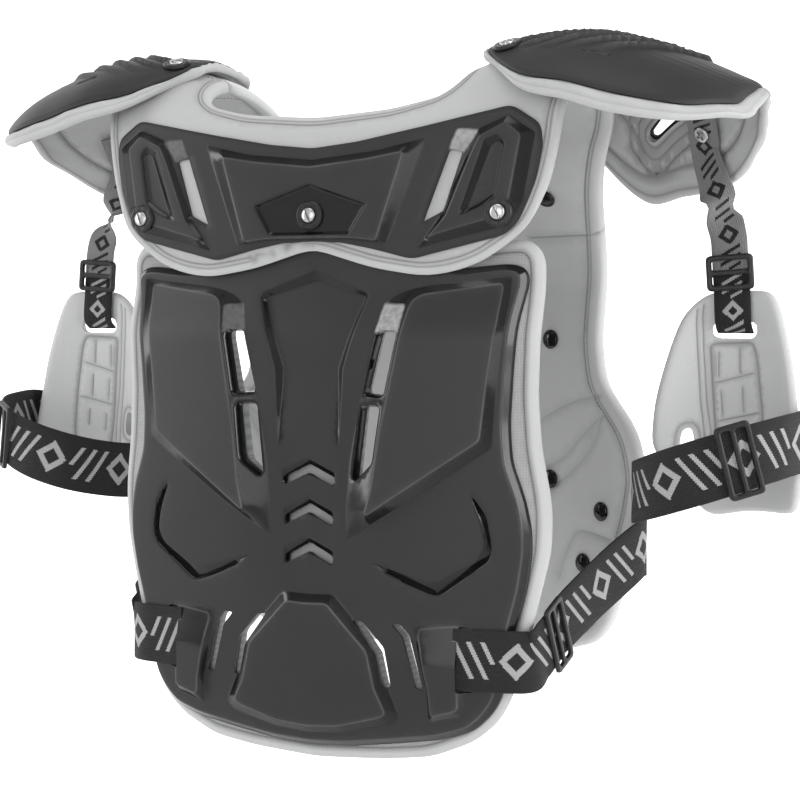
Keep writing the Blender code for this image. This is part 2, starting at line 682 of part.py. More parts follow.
def build_back_plate():
    collared = both_sides(COLLARED_VENTS) + CHEVRONS
    holes = collared + both_sides([RIGHT_HEX_VENT, RIGHT_SLOT])
    loops = [RIM_LOOP, VEE_LOOP, VEE_FLOOR_LOOP, HEX_LOOP, HEX_TOP_LOOP]
    loops += [grown(vent, VENT_COLLAR_WIDTH) for vent in collared]
    loops += both_sides([RIGHT_FIELD, RIGHT_ISLAND, RIGHT_EYE, RIGHT_BLOCK, RIGHT_BLOCK_TOP])
    chains = both_sides([RIGHT_VALLEY]) + hem_lines(0.9 * PLATE_HALF_WIDTH)
    sheet("back_plate", black_plastic("back_plate"), PLATE_LOOP, back_place, plate_depth, plate_back,
          (26.0, 26.0), loops, holes, chains)


BACK_PAD_FACE = RIM_DROP + PLATE_THICKNESS + BACK_PAD_CLEARANCE
BACK_PAD_LOOP = symmetric([(w * BACK_PAD_HALF_WIDTH, BACK_PAD_TOP_Z - h * BACK_PAD_HEIGHT)
                           for w, h in BACK_PAD_OUTLINE])


def build_back_pad():
    front, back = padded(BACK_PAD_LOOP, BACK_PAD_THICKNESS, 7.0)
    holes = [grown(vent, VENT_PAD_MARGIN) for vent in both_sides(COLLARED_VENTS) + CHEVRONS]
    holes += [grown(vent, VENT_PAD_MARGIN) for vent in both_sides([RIGHT_HEX_VENT])]

    def place(x, z, depth):
        return back_place(x, z, BACK_PAD_FACE + depth)

    sheet("back_pad", grey_cloth("back_pad"), BACK_PAD_LOOP, place, front, back, (32.0, 32.0),
          [PLATE_LOOP], holes, hem_lines(0.9 * PLATE_HALF_WIDTH))


def yoke_share(share):
    return share[0] * YOKE_HALF_WIDTH, YOKE_TOP_Z - share[1] * YOKE_HEIGHT


YOKE_FOOT_Y = YOKE_FACE_Y + YOKE_LEAN + YOKE_THICKNESS + GAP
ARCH_RUN = math.pi / 4 * (ARCH_FRONT_Y - YOKE_FOOT_Y) / 2 + math.pi / 4 * ARCH_HEIGHT


def yoke_y(x, z):
    """Y of the upper plate's face."""
    down = min(max((ARCH_FOOT_Z - z) / YOKE_HEIGHT, 0.0), 1.0)
    return YOKE_FACE_Y + YOKE_LEAN * (1.0 - down) + YOKE_SAG * (x / SAG_SPAN) ** 2


def arch(x, angle, depth):
    """The outer face of the shoulder padding: 0 at its foot on the back, half a turn at the front."""
    middle = (YOKE_FOOT_Y + ARCH_FRONT_Y) / 2
    half = (ARCH_FRONT_Y - YOKE_FOOT_Y) / 2 - depth
    height = ARCH_HEIGHT - depth
    side = min(abs(abs(x) - SHOULDER_MIDDLE_X) / SHOULDER_HALF_WIDTH, 1.3)
    rise = math.sin(angle)
    sag = YOKE_SAG * (x / SAG_SPAN) ** 2 * max(math.cos(angle), 0.0)
    return (x, middle - half * math.cos(angle) + sag,
            ARCH_FOOT_Z + height * rise - SHOULDER_DROP * side * side * rise * rise)


def yoke_pad_place(x, run, depth):
    """Below run 0 the pad follows the upper plate straight down, above it the arch."""
    if run > 0:
        return arch(x, 0.5 * math.pi * run / ARCH_RUN, depth)
    z = ARCH_FOOT_Z + run
    return x, yoke_y(x, z) + YOKE_THICKNESS + GAP + depth, z


def yoke_depth(x, z):
    point, beside = (x, z), (abs(x), z)
    depth = -PANEL_RISE * ramp_share(point, YOKE_PANEL, YOKE_PANEL_TOP)
    depth -= UNIT_RISE * ramp_share(beside, YOKE_UNIT, YOKE_UNIT_TOP)
    depth += PILL_DEPTH * ramp_share(beside, YOKE_PILL, YOKE_PILL_FLOOR)
    depth += PILL_DEPTH * ramp_share(point, YOKE_PENTAGON, YOKE_PENTAGON_FLOOR)
    return depth


YOKE_LOOP = symmetric([yoke_share(share) for share in YOKE_OUTLINE])
YOKE_PANEL = symmetric([yoke_share(share) for share in PANEL_OUTER])
YOKE_PANEL_TOP = symmetric([yoke_share(share) for share in PANEL_TOP])
YOKE_PENTAGON = symmetric([yoke_share(share) for share in PENTAGON])
YOKE_PENTAGON_FLOOR = grown(YOKE_PENTAGON, -2.4)
YOKE_UNIT = [yoke_share(share) for share in UNIT_OUTER]
YOKE_UNIT_TOP = [yoke_share(share) for share in UNIT_TOP]
YOKE_PILL = [yoke_share(share) for share in PILL]
YOKE_PILL_FLOOR = grown(YOKE_PILL, -3.0)
YOKE_SIDE_VENT = [yoke_share(share) for share in YOKE_VENT]


def build_yoke_plate():
    def place(x, z, depth):
        return x, yoke_y(x, z) + depth, z

    loops = [YOKE_PANEL, YOKE_PANEL_TOP, YOKE_PENTAGON, YOKE_PENTAGON_FLOOR]
    loops += both_sides([YOKE_UNIT, YOKE_UNIT_TOP, YOKE_PILL, YOKE_PILL_FLOOR])
    sheet("yoke_plate", black_plastic("yoke_plate"), YOKE_LOOP, place, yoke_depth,
          lambda x, z: yoke_depth(x, z) + YOKE_THICKNESS, (26.0, 26.0), loops, both_sides([YOKE_SIDE_VENT]))


def yoke_pad_outline():
    straight = ARCH_FOOT_Z - YOKE_PAD_BOTTOM_Z
    right = []
    for wide, run in YOKE_PAD_OUTLINE:
        along = run * straight if run < 0 else run * ARCH_RUN / 0.94
        right.append((wide * YOKE_PAD_HALF_WIDTH, along))
    return symmetric(right)


YOKE_PAD_LOOP = yoke_pad_outline()


def build_yoke_pad():
    seam = ARCH_RUN - GAP / 2
    outline = [(x, min(run, seam)) for x, run in YOKE_PAD_LOOP]

    def thickness(run):
        up = run + (ARCH_FOOT_Z - YOKE_PAD_BOTTOM_Z) - HEM_HEIGHT
        return lerp(HEM_THICKNESS, SHOULDER_THICKNESS, smooth_step(up / HEM_HEIGHT))

    def front(x, run):
        near = min(chain_distance((x, run), outline) / 6.0, 1.0)
        edge = 0.0 if run > seam - 6.0 else 1.0 - near
        return 0.3 * thickness(run) * edge * edge

    def back(x, run):
        return thickness(run) - front(x, run)

    holes = both_sides([[(x, z - ARCH_FOOT_Z) for x, z in grown(YOKE_SIDE_VENT, 2.0)]])
    seat = [(x, z - ARCH_FOOT_Z) for x, z in YOKE_LOOP]
    sheet("yoke_pad", grey_cloth("yoke_pad"), outline, yoke_pad_place, front, back, (22.0, 15.0), [seat],
          holes)


def chest_y(x, z):
    """Y of the inner face of the chest padding."""
    sag = CHEST_SAG * (x / CHEST_HALF_WIDTH) ** 2
    blend = smooth_step((ARCH_FOOT_Z - z) / CHEST_BLEND)
    foot = ARCH_FRONT_Y - SHOULDER_THICKNESS
    return lerp(foot, CHEST_Y - sag, blend)


def chest_run(share):
    """Distance along the front from the crest: shares up to 1 lie on the arch, up to 2 on the chest."""
    if share <= 1.0:
        return share * ARCH_RUN
    return ARCH_RUN + (share - 1.0) * (ARCH_FOOT_Z - CHEST_BOTTOM_Z)


def chest_face(x, run):
    z = ARCH_FOOT_Z - (run - ARCH_RUN)
    return Vector((x, chest_y(x, z), z))


def chest_place(x, run, outward):
    """A point on the chest padding; outward is measured from its inner face."""
    if run <= ARCH_RUN:
        return Vector(arch(x, 0.5 * math.pi * (1.0 + run / ARCH_RUN), SHOULDER_THICKNESS - outward))
    across = chest_face(x + 1.0, run) - chest_face(x - 1.0, run)
    down = chest_face(x, run + 1.0) - chest_face(x, run - 1.0)
    return chest_face(x, run) + across.cross(down).normalized() * outward


def chest_outline():
    inner = [(w * CHEST_HALF_WIDTH, chest_run(r)) for w, r in CHEST_OUTLINE]
    outer = [(w * CHEST_HALF_WIDTH, chest_run(r)) for w, r in CHEST_SIDE]
    right = list(reversed(inner)) + outer
    return symmetric(right)


CHEST_LOOP = chest_outline()


def chest_thickness(run):
    return lerp(SHOULDER_THICKNESS, CHEST_THICKNESS, smooth_step(run / ARCH_RUN - 1.0))


def chest_plate_loop():
    low = chest_run(CHEST_PLATE_TOP_SHARE)
    loop = []
    for x, run in grown(CHEST_LOOP, -CHEST_PLATE_INSET):
        point = (x, max(run, low))
        if not loop or math.hypot(point[0] - loop[-1][0], point[1] - loop[-1][1]) > 2.0:
            loop.append(point)
    return loop


CHEST_PLATE_LOOP = chest_plate_loop()
CHEST_CELL = (28.0, 28.0)


def chest_lines(shares):
    """Level lines where the shoulder padding bends over into the chest."""
    half = CHEST_LINE_HALF_WIDTH
    runs = [ARCH_RUN + CHEST_BLEND * share for share in shares]
    return [[(-half, run), (half, run)] for run in runs]


def build_front_pad():
    seam = GAP / 2
    outline = [(x, max(run, seam)) for x, run in CHEST_LOOP]

    def front(x, run):
        near = min(chain_distance((x, run), outline) / 7.0, 1.0)
        edge = 0.0 if run < seam + 7.0 else 1.0 - near
        return 0.3 * chest_thickness(run) * edge * edge

    def back(x, run):
        return chest_thickness(run) - front(x, run)

    sheet("front_pad", grey_cloth("front_pad"), outline, chest_place, front, back, CHEST_CELL,
          [CHEST_PLATE_LOOP], (), chest_lines(CHEST_LINE_SHARES))


def build_front_plate():
    top = chest_run(CHEST_PLATE_TOP_SHARE)

    def front(x, run):
        return chest_thickness(run) + GAP

    def back(x, run):
        return front(x, run) + CHEST_PLATE_THICKNESS

    lines = [share for share in CHEST_LINE_SHARES if ARCH_RUN + CHEST_BLEND * share > top]
    sheet("front_plate", black_plastic("front_plate"), CHEST_PLATE_LOOP, chest_place, front, back,
          CHEST_CELL, (), (), chest_lines(lines))


def washer_and_screw(name, frame):
    origin, right, up, outward = frame
    base = origin + outward * WASHER_CLEARANCE
    turned(name + "_washer", black_plastic(name + "_washer"), (base, right, up, outward),
           ((WASHER_RADIUS, 0.0), (WASHER_RADIUS, 0.6 * WASHER_HEIGHT),
            (0.9 * WASHER_RADIUS, WASHER_HEIGHT)))
    head = base + outward * (WASHER_HEIGHT + GAP)
    turned(name + "_screw", bright_metal(name + "_screw"), (head, right, up, outward),
           ((SCREW_RADIUS, 0.0), (SCREW_RADIUS, 0.35 * SCREW_HEIGHT),
            (0.75 * SCREW_RADIUS, 0.8 * SCREW_HEIGHT), (0.35 * SCREW_RADIUS, SCREW_HEIGHT)), 12)


def build_yoke_screws():
    for name, wide, down in YOKE_SCREWS:
        x, z = yoke_share((wide, down))
        slope = 2 * YOKE_SAG * x / SAG_SPAN ** 2
        lean = YOKE_LEAN / YOKE_HEIGHT
        origin = (x, yoke_y(x, z) + yoke_depth(x, z), z)
        washer_and_screw("yoke_" + name, frame_at(origin, (slope, -1.0, lean), (0.0, 0.0, 1.0)))


def build_chest_rivets():
    for order, (wide, share, clearance) in enumerate(CHEST_RIVETS, 1):
        for side_name, side in (("right", 1), ("left", -1)):
            x, run = side * wide * CHEST_HALF_WIDTH, chest_run(share)
            inner = chest_place(x, run, 0.0)
            normal = inner - chest_place(x, run, 1.0)
            frame = frame_at(inner + normal * clearance, normal, (0.0, 0.0, 1.0))
            name = "chest_rivet_%s_%d" % (side_name, order)
            turned(name, black_plastic(name), frame,
                   ((RIVET_RADIUS, 0.0), (0.92 * RIVET_RADIUS, 0.5 * RIVET_HEIGHT),
                    (0.5 * RIVET_RADIUS, RIVET_HEIGHT)), 12)


CAP_CREST_Z = ARCH_FOOT_Z + ARCH_HEIGHT
CAP_PAD_DEPTH = CAP_SHELL_THICKNESS + GAP
CAP_INNER_DEPTH = CAP_PAD_DEPTH + CAP_PAD_THICKNESS
CAP_RIDGE_Z = CAP_CREST_Z + CAP_SEAT_CLEARANCE + CAP_INNER_DEPTH


def cap_station(share):
    """The rear edge, ridge and front edge at a share of the cap's length, between the table's rows."""
    share = min(max(share, 0.0), 1.0)
    rows = CAP_STATIONS
    index = max(i for i in range(len(rows) - 1) if rows[i][0] <= share)
    first, second = rows[index], rows[index + 1]
    before = rows[max(index - 1, 0)]
    after = rows[min(index + 2, len(rows) - 1)]
    span = second[0] - first[0]
    t = (share - first[0]) / span
    values = []
    for column in range(1, len(first)):
        start_slope = (second[column] - before[column]) / (second[0] - before[0]) * span
        end_slope = (after[column] - first[column]) / (after[0] - first[0]) * span
        values.append((2 * t ** 3 - 3 * t * t + 1) * first[column] + (t ** 3 - 2 * t * t + t) * start_slope
                      + (3 * t * t - 2 * t ** 3) * second[column] + (t ** 3 - t * t) * end_slope)
    return values


def cap_face(share, turn):
    """The shell's outer face; turn runs from the rear edge at -1 over the ridge to the front at 1."""
    rear_y, rear_z, ridge_y, rise, front_y, front_z = cap_station(share)
    half_arc = math.radians(CAP_ARC_DEGREES)
    angle = turn * half_arc
    ridge_z = CAP_RIDGE_Z + rise
    edge_y, edge_z = (front_y, front_z) if turn > 0 else (rear_y, rear_z)
    y = ridge_y + abs(edge_y - ridge_y) * math.sin(angle) / math.sin(half_arc)
    z = ridge_z - (ridge_z - edge_z) * (1.0 - math.cos(angle)) / (1.0 - math.cos(half_arc))
    return Vector((CAP_INNER_X + share * CAP_LENGTH, y, z))


def cap_normal(share, turn):
    step = 0.02
    low, high = max(share - step, 0.0), min(share + step, 1.0)
    along = cap_face(high, turn) - cap_face(low, turn)
    over = cap_face(share, turn + step) - cap_face(share, turn - step)
    return along.cross(over).normalized()


def cap_place(share, turn, depth):
    return cap_face(share, turn) - cap_normal(share, turn) * depth


def build_cap(side_name, side):
    def place(p, q, depth):
        x, y, z = cap_place(p / CAP_LENGTH, q / CAP_TURN_SCALE, depth)
        return side * x, y, z

    pad_loop = [(share * CAP_LENGTH, turn * CAP_TURN_SCALE) for share, turn in CAP_OUTLINE]
    front, back = padded(pad_loop, CAP_PAD_THICKNESS, 5.0)
    cell = (CAP_LENGTH / 9, CAP_TURN_SCALE / 5)
    shell_loop = [(share * CAP_LENGTH * CAP_SHELL_SHARE + CAP_SHELL_INSET,
                   turn * CAP_TURN_SCALE * CAP_SHELL_TURN) for share, turn in CAP_OUTLINE]
    sheet("cap_pad_" + side_name, grey_cloth("cap_pad_" + side_name), pad_loop, place,
          lambda p, q: CAP_PAD_DEPTH + front(p, q), lambda p, q: CAP_PAD_DEPTH + back(p, q), cell,
          [shell_loop])
    sheet("cap_shell_" + side_name, black_plastic("cap_shell_" + side_name), shell_loop, place,
          lambda p, q: 0.0, lambda p, q: CAP_SHELL_THICKNESS, cell)
    origin = cap_face(CAP_WASHER_SHARE, CAP_WASHER_TURN)
    normal = cap_normal(CAP_WASHER_SHARE, CAP_WASHER_TURN)
    frame = frame_at((side * origin.x, origin.y, origin.z), (side * normal.x, normal.y, normal.z),
                     (0, 1, 0))
    washer_and_screw("cap_" + side_name, frame)


def guard_place(side, u, z, outward):
    """A point on an arm guard, u to the outside along its inner face, outward from that face."""
    angle = u / GUARD_RADIUS
    radius = GUARD_RADIUS + outward
    return Vector((side * (GUARD_X + radius * math.sin(angle)),
                   GUARD_Y - GUARD_RADIUS + radius * math.cos(angle), z))


GUARD_OUTER_DEPTH = GUARD_PAD_THICKNESS + GAP + GUARD_SHELL_THICKNESS


def build_guard(side_name, side):
    def place(u, z, outward):
        return guard_place(side, u, z, outward)

    outline = [(w * GUARD_HALF_WIDTH, GUARD_TOP_Z - h * GUARD_HEIGHT) for w, h in GUARD_OUTLINE]
    slot = [(w * GUARD_HALF_WIDTH, GUARD_TOP_Z - h * GUARD_HEIGHT) for w, h in GUARD_TOP_SLOT]
    front, back = padded(outline, GUARD_PAD_THICKNESS, 4.0)
    cell = (GUARD_RADIUS / 5, GUARD_HEIGHT / 5)
    shell = grown(outline, -GUARD_SHELL_INSET)
    sheet("guard_pad_" + side_name, grey_cloth("guard_pad_" + side_name), outline, place, front, back,
          cell, [shell], [slot])
    base = GUARD_PAD_THICKNESS + GAP
    sheet("guard_shell_" + side_name, black_plastic("guard_shell_" + side_name), shell, place,
          lambda u, z: base, lambda u, z: base + GUARD_SHELL_THICKNESS, cell, [slot])


def strap_buckle(name, path, index, outward_hint, strap_width):
    """A slider that lies on a strap at one of its path points, on the side that the hint points to."""
    before, here, after = (Vector(path[index + step]) for step in (-1, 0, 1))
    along = (after - before).normalized()
    side = (Vector((0, 0, 1)) - along * along.z) if abs(along.z) < 0.8 else Vector((1, 0, 0))
    normal = along.cross(side.normalized()).normalized()
    if normal.dot(Vector(outward_hint)) < 0:
        normal = -normal
    origin = here + normal * (STRAP_THICKNESS / 2 + BUCKLE_CLEARANCE)
    buckle(name, frame_at(origin, normal, along), strap_width)


def arm_band_path(side):
    seat = GUARD_OUTER_DEPTH + GAP + STRAP_THICKNESS / 2 + ARM_BAND_CLEARANCE
    wrap = [(-15.0, seat), (-32.0, seat), (-46.0, seat + 0.5), (-57.0, seat + 2.5)]
    plan = [guard_place(1, u, 0.0, depth) for u, depth in wrap]
    plan += [Vector((GUARD_X + outward, y, 0.0)) for outward, y in ARM_BAND_REAR]
    plan += [guard_place(1, -u, 0.0, depth) for u, depth in reversed(wrap)]
    return [(side * point.x, point.y, ARM_BAND_Z + ARM_BAND_SLOPE * (point.x - GUARD_X)) for point in plan]


def build_arm_band(side_name, side):
    path = arm_band_path(side)
    name = "arm_strap_" + side_name
    strap(name, black_web(name), path, [(0, 0, 1)] * len(path), ARM_BAND_WIDTH, STRAP_THICKNESS, 2)
    strap_buckle("arm_buckle_" + side_name, path, 8, (side * 0.6, -0.8, 0.0), ARM_BAND_WIDTH)


def waist_path(side):
    """From behind the slot of the lower plate, round the edge of the back, to the chest plate."""
    lift = -(WAIST_CLEARANCE + STRAP_THICKNESS / 2)
    plan = [(x, back_y(x, WAIST_STRAP_Z) + lift) for x in (
        SLOT_INNER * PLATE_HALF_WIDTH - 3.0, 0.5 * (SLOT_INNER + 0.9) * PLATE_HALF_WIDTH,
        0.92 * PLATE_HALF_WIDTH)]
    plan += [(lerp(PLATE_HALF_WIDTH, CHEST_HALF_WIDTH, share), y) for share, y in WAIST_SIDE_PATH]
    rise_from, rise_to = plan[3][1], plan[-1][1]
    path = []
    for x, y in plan:
        share = min(max((y - rise_from) / (rise_to - rise_from), 0.0), 1.0)
        path.append((side * x, y, lerp(WAIST_STRAP_Z, WAIST_STRAP_FRONT_Z, share)))
    run = ARCH_RUN + ARCH_FOOT_Z - WAIST_STRAP_FRONT_Z
    seat = CHEST_THICKNESS + GAP + STRAP_THICKNESS / 2 + WAIST_CHEST_CLEARANCE
    for inset in WAIST_CHEST_INSETS:
        point = chest_place(CHEST_HALF_WIDTH - inset, run, seat)
        path.append((side * point[0], point[1], point[2]))
    return path


def build_waist_strap(side_name, side):
    path = waist_path(side)
    name = "waist_strap_" + side_name
    strap(name, black_web(name), path, [(0, 0, 1)] * len(path), WAIST_STRAP_WIDTH, STRAP_THICKNESS, 2)
    strap_buckle("waist_buckle_" + side_name, path, 5, (side, 0.0, 0.0), WAIST_STRAP_WIDTH)


def hanger_path(side):
    """From under the shoulder cap down to the slot at the top of the arm guard."""
    seat = CAP_INNER_DEPTH + STRAP_THICKNESS / 2 + HANGER_CLEARANCE
    path = [cap_place(HANGER_SHARE, turn, seat) for turn in HANGER_TURNS]
    face_y = GUARD_Y - HANGER_WIDTH ** 2 / (8 * GUARD_RADIUS) - STRAP_THICKNESS / 2 - HANGER_GUARD_CLEARANCE
    slot_z = GUARD_TOP_Z - GUARD_TOP_SLOT[0][1] * GUARD_HEIGHT
    path += [Vector((GUARD_X + outward, face_y + forward, GUARD_TOP_Z + above))
             for outward, forward, above in HANGER_FALL]
    path += [Vector((GUARD_X + 2.0, face_y, slot_z - 0.5)),
             Vector((GUARD_X + 2.0, GUARD_Y + 3.0, slot_z - 8.0))]
    return [(side * point.x, point.y, point.z) for point in path]


def hanger_across(side, count):
    """The strap lies flat on the cap's lining at its upper points and hangs square below them."""
    across = []
    for turn in HANGER_TURNS:
        over = cap_face(HANGER_SHARE + 0.03, turn) - cap_face(HANGER_SHARE - 0.03, turn)
        across.append((over.x, side * over.y, side * over.z))
    return across + [(1.0, 0.0, 0.0)] * (count - len(across))


def build_hanger(side_name, side):
    path = hanger_path(side)
    name = "hanger_strap_" + side_name
    strap(name, black_web(name), path, hanger_across(side, len(path)), HANGER_WIDTH, STRAP_THICKNESS, 3)
    strap_buckle("hanger_buckle_" + side_name, path, len(HANGER_TURNS) + 2, (0, -1, 0), HANGER_WIDTH)
    normal = cap_normal(HANGER_SHARE, HANGER_TURNS[1])
    origin = cap_place(HANGER_SHARE, HANGER_TURNS[1],
                       CAP_INNER_DEPTH + STRAP_THICKNESS + HANGER_CLEARANCE + HANGER_SCREW_CLEARANCE)
    frame = frame_at((side * origin.x, origin.y, origin.z), (-side * normal.x, -normal.y, -normal.z),
                     (0, 0, 1))
    screw = "hanger_screw_" + side_name
    turned(screw, bright_metal(screw), frame,
           ((HANGER_SCREW_RADIUS, 0.0), (HANGER_SCREW_RADIUS, 0.4 * SCREW_HEIGHT),
            (0.7 * HANGER_SCREW_RADIUS, SCREW_HEIGHT)), 12)


def clear_scene():
    for item in list(bpy.data.objects):
        bpy.data.objects.remove(item, do_unlink=True)


def main():
    clear_scene()
    build_back_plate()
    build_back_pad()
    build_yoke_plate()
    build_yoke_pad()
    build_front_pad()
    build_front_plate()
    build_yoke_screws()
    build_chest_rivets()
    for side_name, side in (("right", 1), ("left", -1)):
        build_cap(side_name, side)
        build_guard(side_name, side)
        build_hanger(side_name, side)
        build_arm_band(side_name, side)
        build_waist_strap(side_name, side)


main()
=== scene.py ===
"""Looks of a roost deflector: motocross body armour vest, shown as it is worn.

Lengths are in millimetres until they become mesh points. The frame: +X is the wearer's right, +Y is the
way the wearer faces, +Z is up, and the origin is the shoulder seat between the two shoulder caps.
"""

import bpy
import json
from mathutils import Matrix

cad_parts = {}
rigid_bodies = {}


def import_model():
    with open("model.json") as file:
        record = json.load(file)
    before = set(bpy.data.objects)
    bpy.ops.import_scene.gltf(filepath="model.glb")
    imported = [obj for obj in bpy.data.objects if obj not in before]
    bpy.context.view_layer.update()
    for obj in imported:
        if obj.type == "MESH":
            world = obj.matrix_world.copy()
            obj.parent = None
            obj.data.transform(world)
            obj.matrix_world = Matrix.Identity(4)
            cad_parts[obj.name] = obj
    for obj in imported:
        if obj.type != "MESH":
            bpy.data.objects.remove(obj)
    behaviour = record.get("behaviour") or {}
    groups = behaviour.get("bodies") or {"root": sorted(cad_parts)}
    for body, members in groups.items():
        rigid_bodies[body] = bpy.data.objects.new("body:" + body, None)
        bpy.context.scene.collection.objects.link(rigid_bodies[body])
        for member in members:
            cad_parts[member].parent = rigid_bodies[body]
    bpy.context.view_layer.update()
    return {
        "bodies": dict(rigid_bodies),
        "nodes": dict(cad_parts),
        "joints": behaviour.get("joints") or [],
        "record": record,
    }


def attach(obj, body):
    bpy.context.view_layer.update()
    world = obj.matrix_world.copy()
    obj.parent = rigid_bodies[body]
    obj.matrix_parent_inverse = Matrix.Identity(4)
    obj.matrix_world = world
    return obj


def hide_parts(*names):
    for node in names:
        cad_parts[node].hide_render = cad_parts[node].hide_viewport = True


bl_info = {
    "name": "Roost deflector looks",
    "version": (1, 0, 0),
    "blender": (4, 5, 0),
    "location": "3D View > Sidebar > Armour",
    "description": "Moulded plates, padding, webbing and fasteners of a body armour vest",
    "category": "Object",
}

import json
import math

import bpy
import numpy as np
from mathutils import Vector
from mathutils.geometry import delaunay_2d_cdt

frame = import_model()

MM = 0.001
GAP = 0.3

# Lower back plate and the pad under it
PLATE_HALF_WIDTH = 164.0
PLATE_TOP_Z = -105.0
PLATE_HEIGHT = 372.0
PLATE_THICKNESS = 2.5
PLATE_FACE_Y = -85.0
BACK_BOW = 2.0
BACK_SAG_TOP = 9.0
BACK_SAG_BOTTOM = 17.5
SAG_SPAN = 150.0
HEM_DIVE = 10.25
HEM_DIVE_FROM_Z = -184.0
HEM_DIVE_LENGTH = 48.0
RIM_WIDTH = 4.5
RIM_DROP = 6.0
VEE_DEPTH = 5.0
ISLAND_RISE_INNER_TOP = 3.0
ISLAND_RISE_INNER_BOTTOM = 11.0
ISLAND_RISE_OUTER_TOP = -1.5
ISLAND_RISE_OUTER_BOTTOM = 6.0
EYE_DEPTH = 4.0
HEX_RISE = 5.0
BLOCK_RISE = 6.5
VENT_COLLAR_WIDTH = 1.6
VENT_COLLAR_DROP = 8.0
VENT_PAD_MARGIN = 3.0

CHEVRON_COUNT = 3
CHEVRON_PITCH = 28.5
CHEVRON_TOP_Z = -266.5
CHEVRON_RISE = 9.5
CHEVRON_BAND = 11.0
CHEVRON_HALF_WIDTH = 22.0
CHEVRON_HALF_WIDTH_LOWER = 20.5

BACK_PAD_HALF_WIDTH = 175.0
BACK_PAD_TOP_Z = -110.0
BACK_PAD_HEIGHT = 377.0
BACK_PAD_THICKNESS = 9.0
BACK_PAD_CLEARANCE = 0.6
MARGIN_CURVE = 0.010
MARGIN_FROM = 158.0

# Upper back plate and its padding, which runs up over the shoulders
YOKE_FACE_Y = -84.0
YOKE_LEAN = 5.0
YOKE_SAG = 8.0
YOKE_HALF_WIDTH = 175.0
YOKE_TOP_Z = -18.0
YOKE_HEIGHT = 106.0
YOKE_THICKNESS = 2.5
PANEL_RISE = 4.0
UNIT_RISE = 4.0
PILL_DEPTH = 3.2
YOKE_PAD_HALF_WIDTH = 192.0
YOKE_PAD_BOTTOM_Z = -136.0
HEM_THICKNESS = 4.0
SHOULDER_THICKNESS = 10.0
HEM_HEIGHT = 34.0

# The arch of the shoulder padding, seen from the side
ARCH_FOOT_Z = -35.0
ARCH_FRONT_Y = 60.0
ARCH_HEIGHT = 58.0
SHOULDER_MIDDLE_X = 147.0
SHOULDER_HALF_WIDTH = 43.0
SHOULDER_DROP = 9.0

# Chest padding and the chest plate in front of it
CHEST_Y = 140.0
CHEST_SAG = 59.0
CHEST_HALF_WIDTH = 195.0
CHEST_BLEND = 110.0
CHEST_BOTTOM_Z = -440.0
CHEST_THICKNESS = 12.0
CHEST_PLATE_INSET = 22.0
CHEST_PLATE_THICKNESS = 3.0
CHEST_PLATE_TOP_SHARE = 1.2
RIVET_RADIUS = 7.5
RIVET_HEIGHT = 3.2

# Shoulder caps
CAP_INNER_X = 116.0
CAP_LENGTH = 199.0
CAP_PAD_THICKNESS = 7.0
CAP_SHELL_THICKNESS = 2.5
CAP_ARC_DEGREES = 64.0
CAP_SEAT_CLEARANCE = 1.2
CAP_SHELL_SHARE = 0.94
CAP_SHELL_TURN = 0.88
CAP_SHELL_INSET = 4.0

# Upper-arm guards with their bands
GUARD_INWARD = 43.0
GUARD_X = CAP_INNER_X + CAP_LENGTH - GUARD_INWARD
GUARD_Y = 59.0
GUARD_RADIUS = 73.0
GUARD_TOP_Z = -146.0
GUARD_HEIGHT = 166.0
GUARD_HALF_WIDTH = 58.0
GUARD_PAD_THICKNESS = 8.0
GUARD_SHELL_THICKNESS = 2.5
GUARD_SHELL_INSET = 5.0
ARM_BAND_WIDTH = 44.0
ARM_BAND_Z = -272.0
ARM_BAND_SLOPE = 0.33

# Straps and small parts
STRAP_THICKNESS = 2.0
WAIST_STRAP_WIDTH = 44.0
WAIST_STRAP_Z = -406.0
WAIST_STRAP_FRONT_Z = -342.0
SLOT_HALF_HEIGHT = 23.5
HANGER_WIDTH = 27.0
BUCKLE_BAR = 4.0
BUCKLE_THICKNESS = 3.0
BUCKLE_LENGTH = 26.0
WASHER_RADIUS = 10.5
WASHER_HEIGHT = 2.2
WASHER_CLEARANCE = 0.5
SCREW_RADIUS = 5.3
SCREW_HEIGHT = 2.4
HANGER_SCREW_RADIUS = 6.0
BUCKLE_CLEARANCE = 0.5
WAIST_CLEARANCE = 0.8
ARM_BAND_CLEARANCE = 0.6
HANGER_CLEARANCE = 4.0
HANGER_GUARD_CLEARANCE = 2.0
HANGER_SCREW_CLEARANCE = 0.9
WAIST_CHEST_CLEARANCE = 0.4

# The waist strap round the side: share of the way out from the plate's edge to the chest's, and Y
WAIST_SIDE_PATH = ((0.0, -61.0), (0.1, -47.0), (0.16, -29.0), (0.23, -11.0), (0.58, 32.0), (1.06, 78.0))
# Its end on the chest: inward of the edge of the chest padding
WAIST_CHEST_INSETS = (7.0, 16.0, 26.0)
# The hanging straps down to the guard: outward of its middle, forward of its face, above its top
HANGER_FALL = ((-3.0, 1.5, 42.0), (-1.0, 0.0, 28.0), (0.0, 0.0, 13.0), (1.0, 0.0, -2.0))
# The arm band behind the arm: outward of the guard's middle, and Y
ARM_BAND_REAR = ((-60.0, 22.0), (-52.0, -8.0), (-31.0, -35.0), (0.0, -45.0), (31.0, -35.0), (52.0, -8.0),
                 (60.0, 22.0))


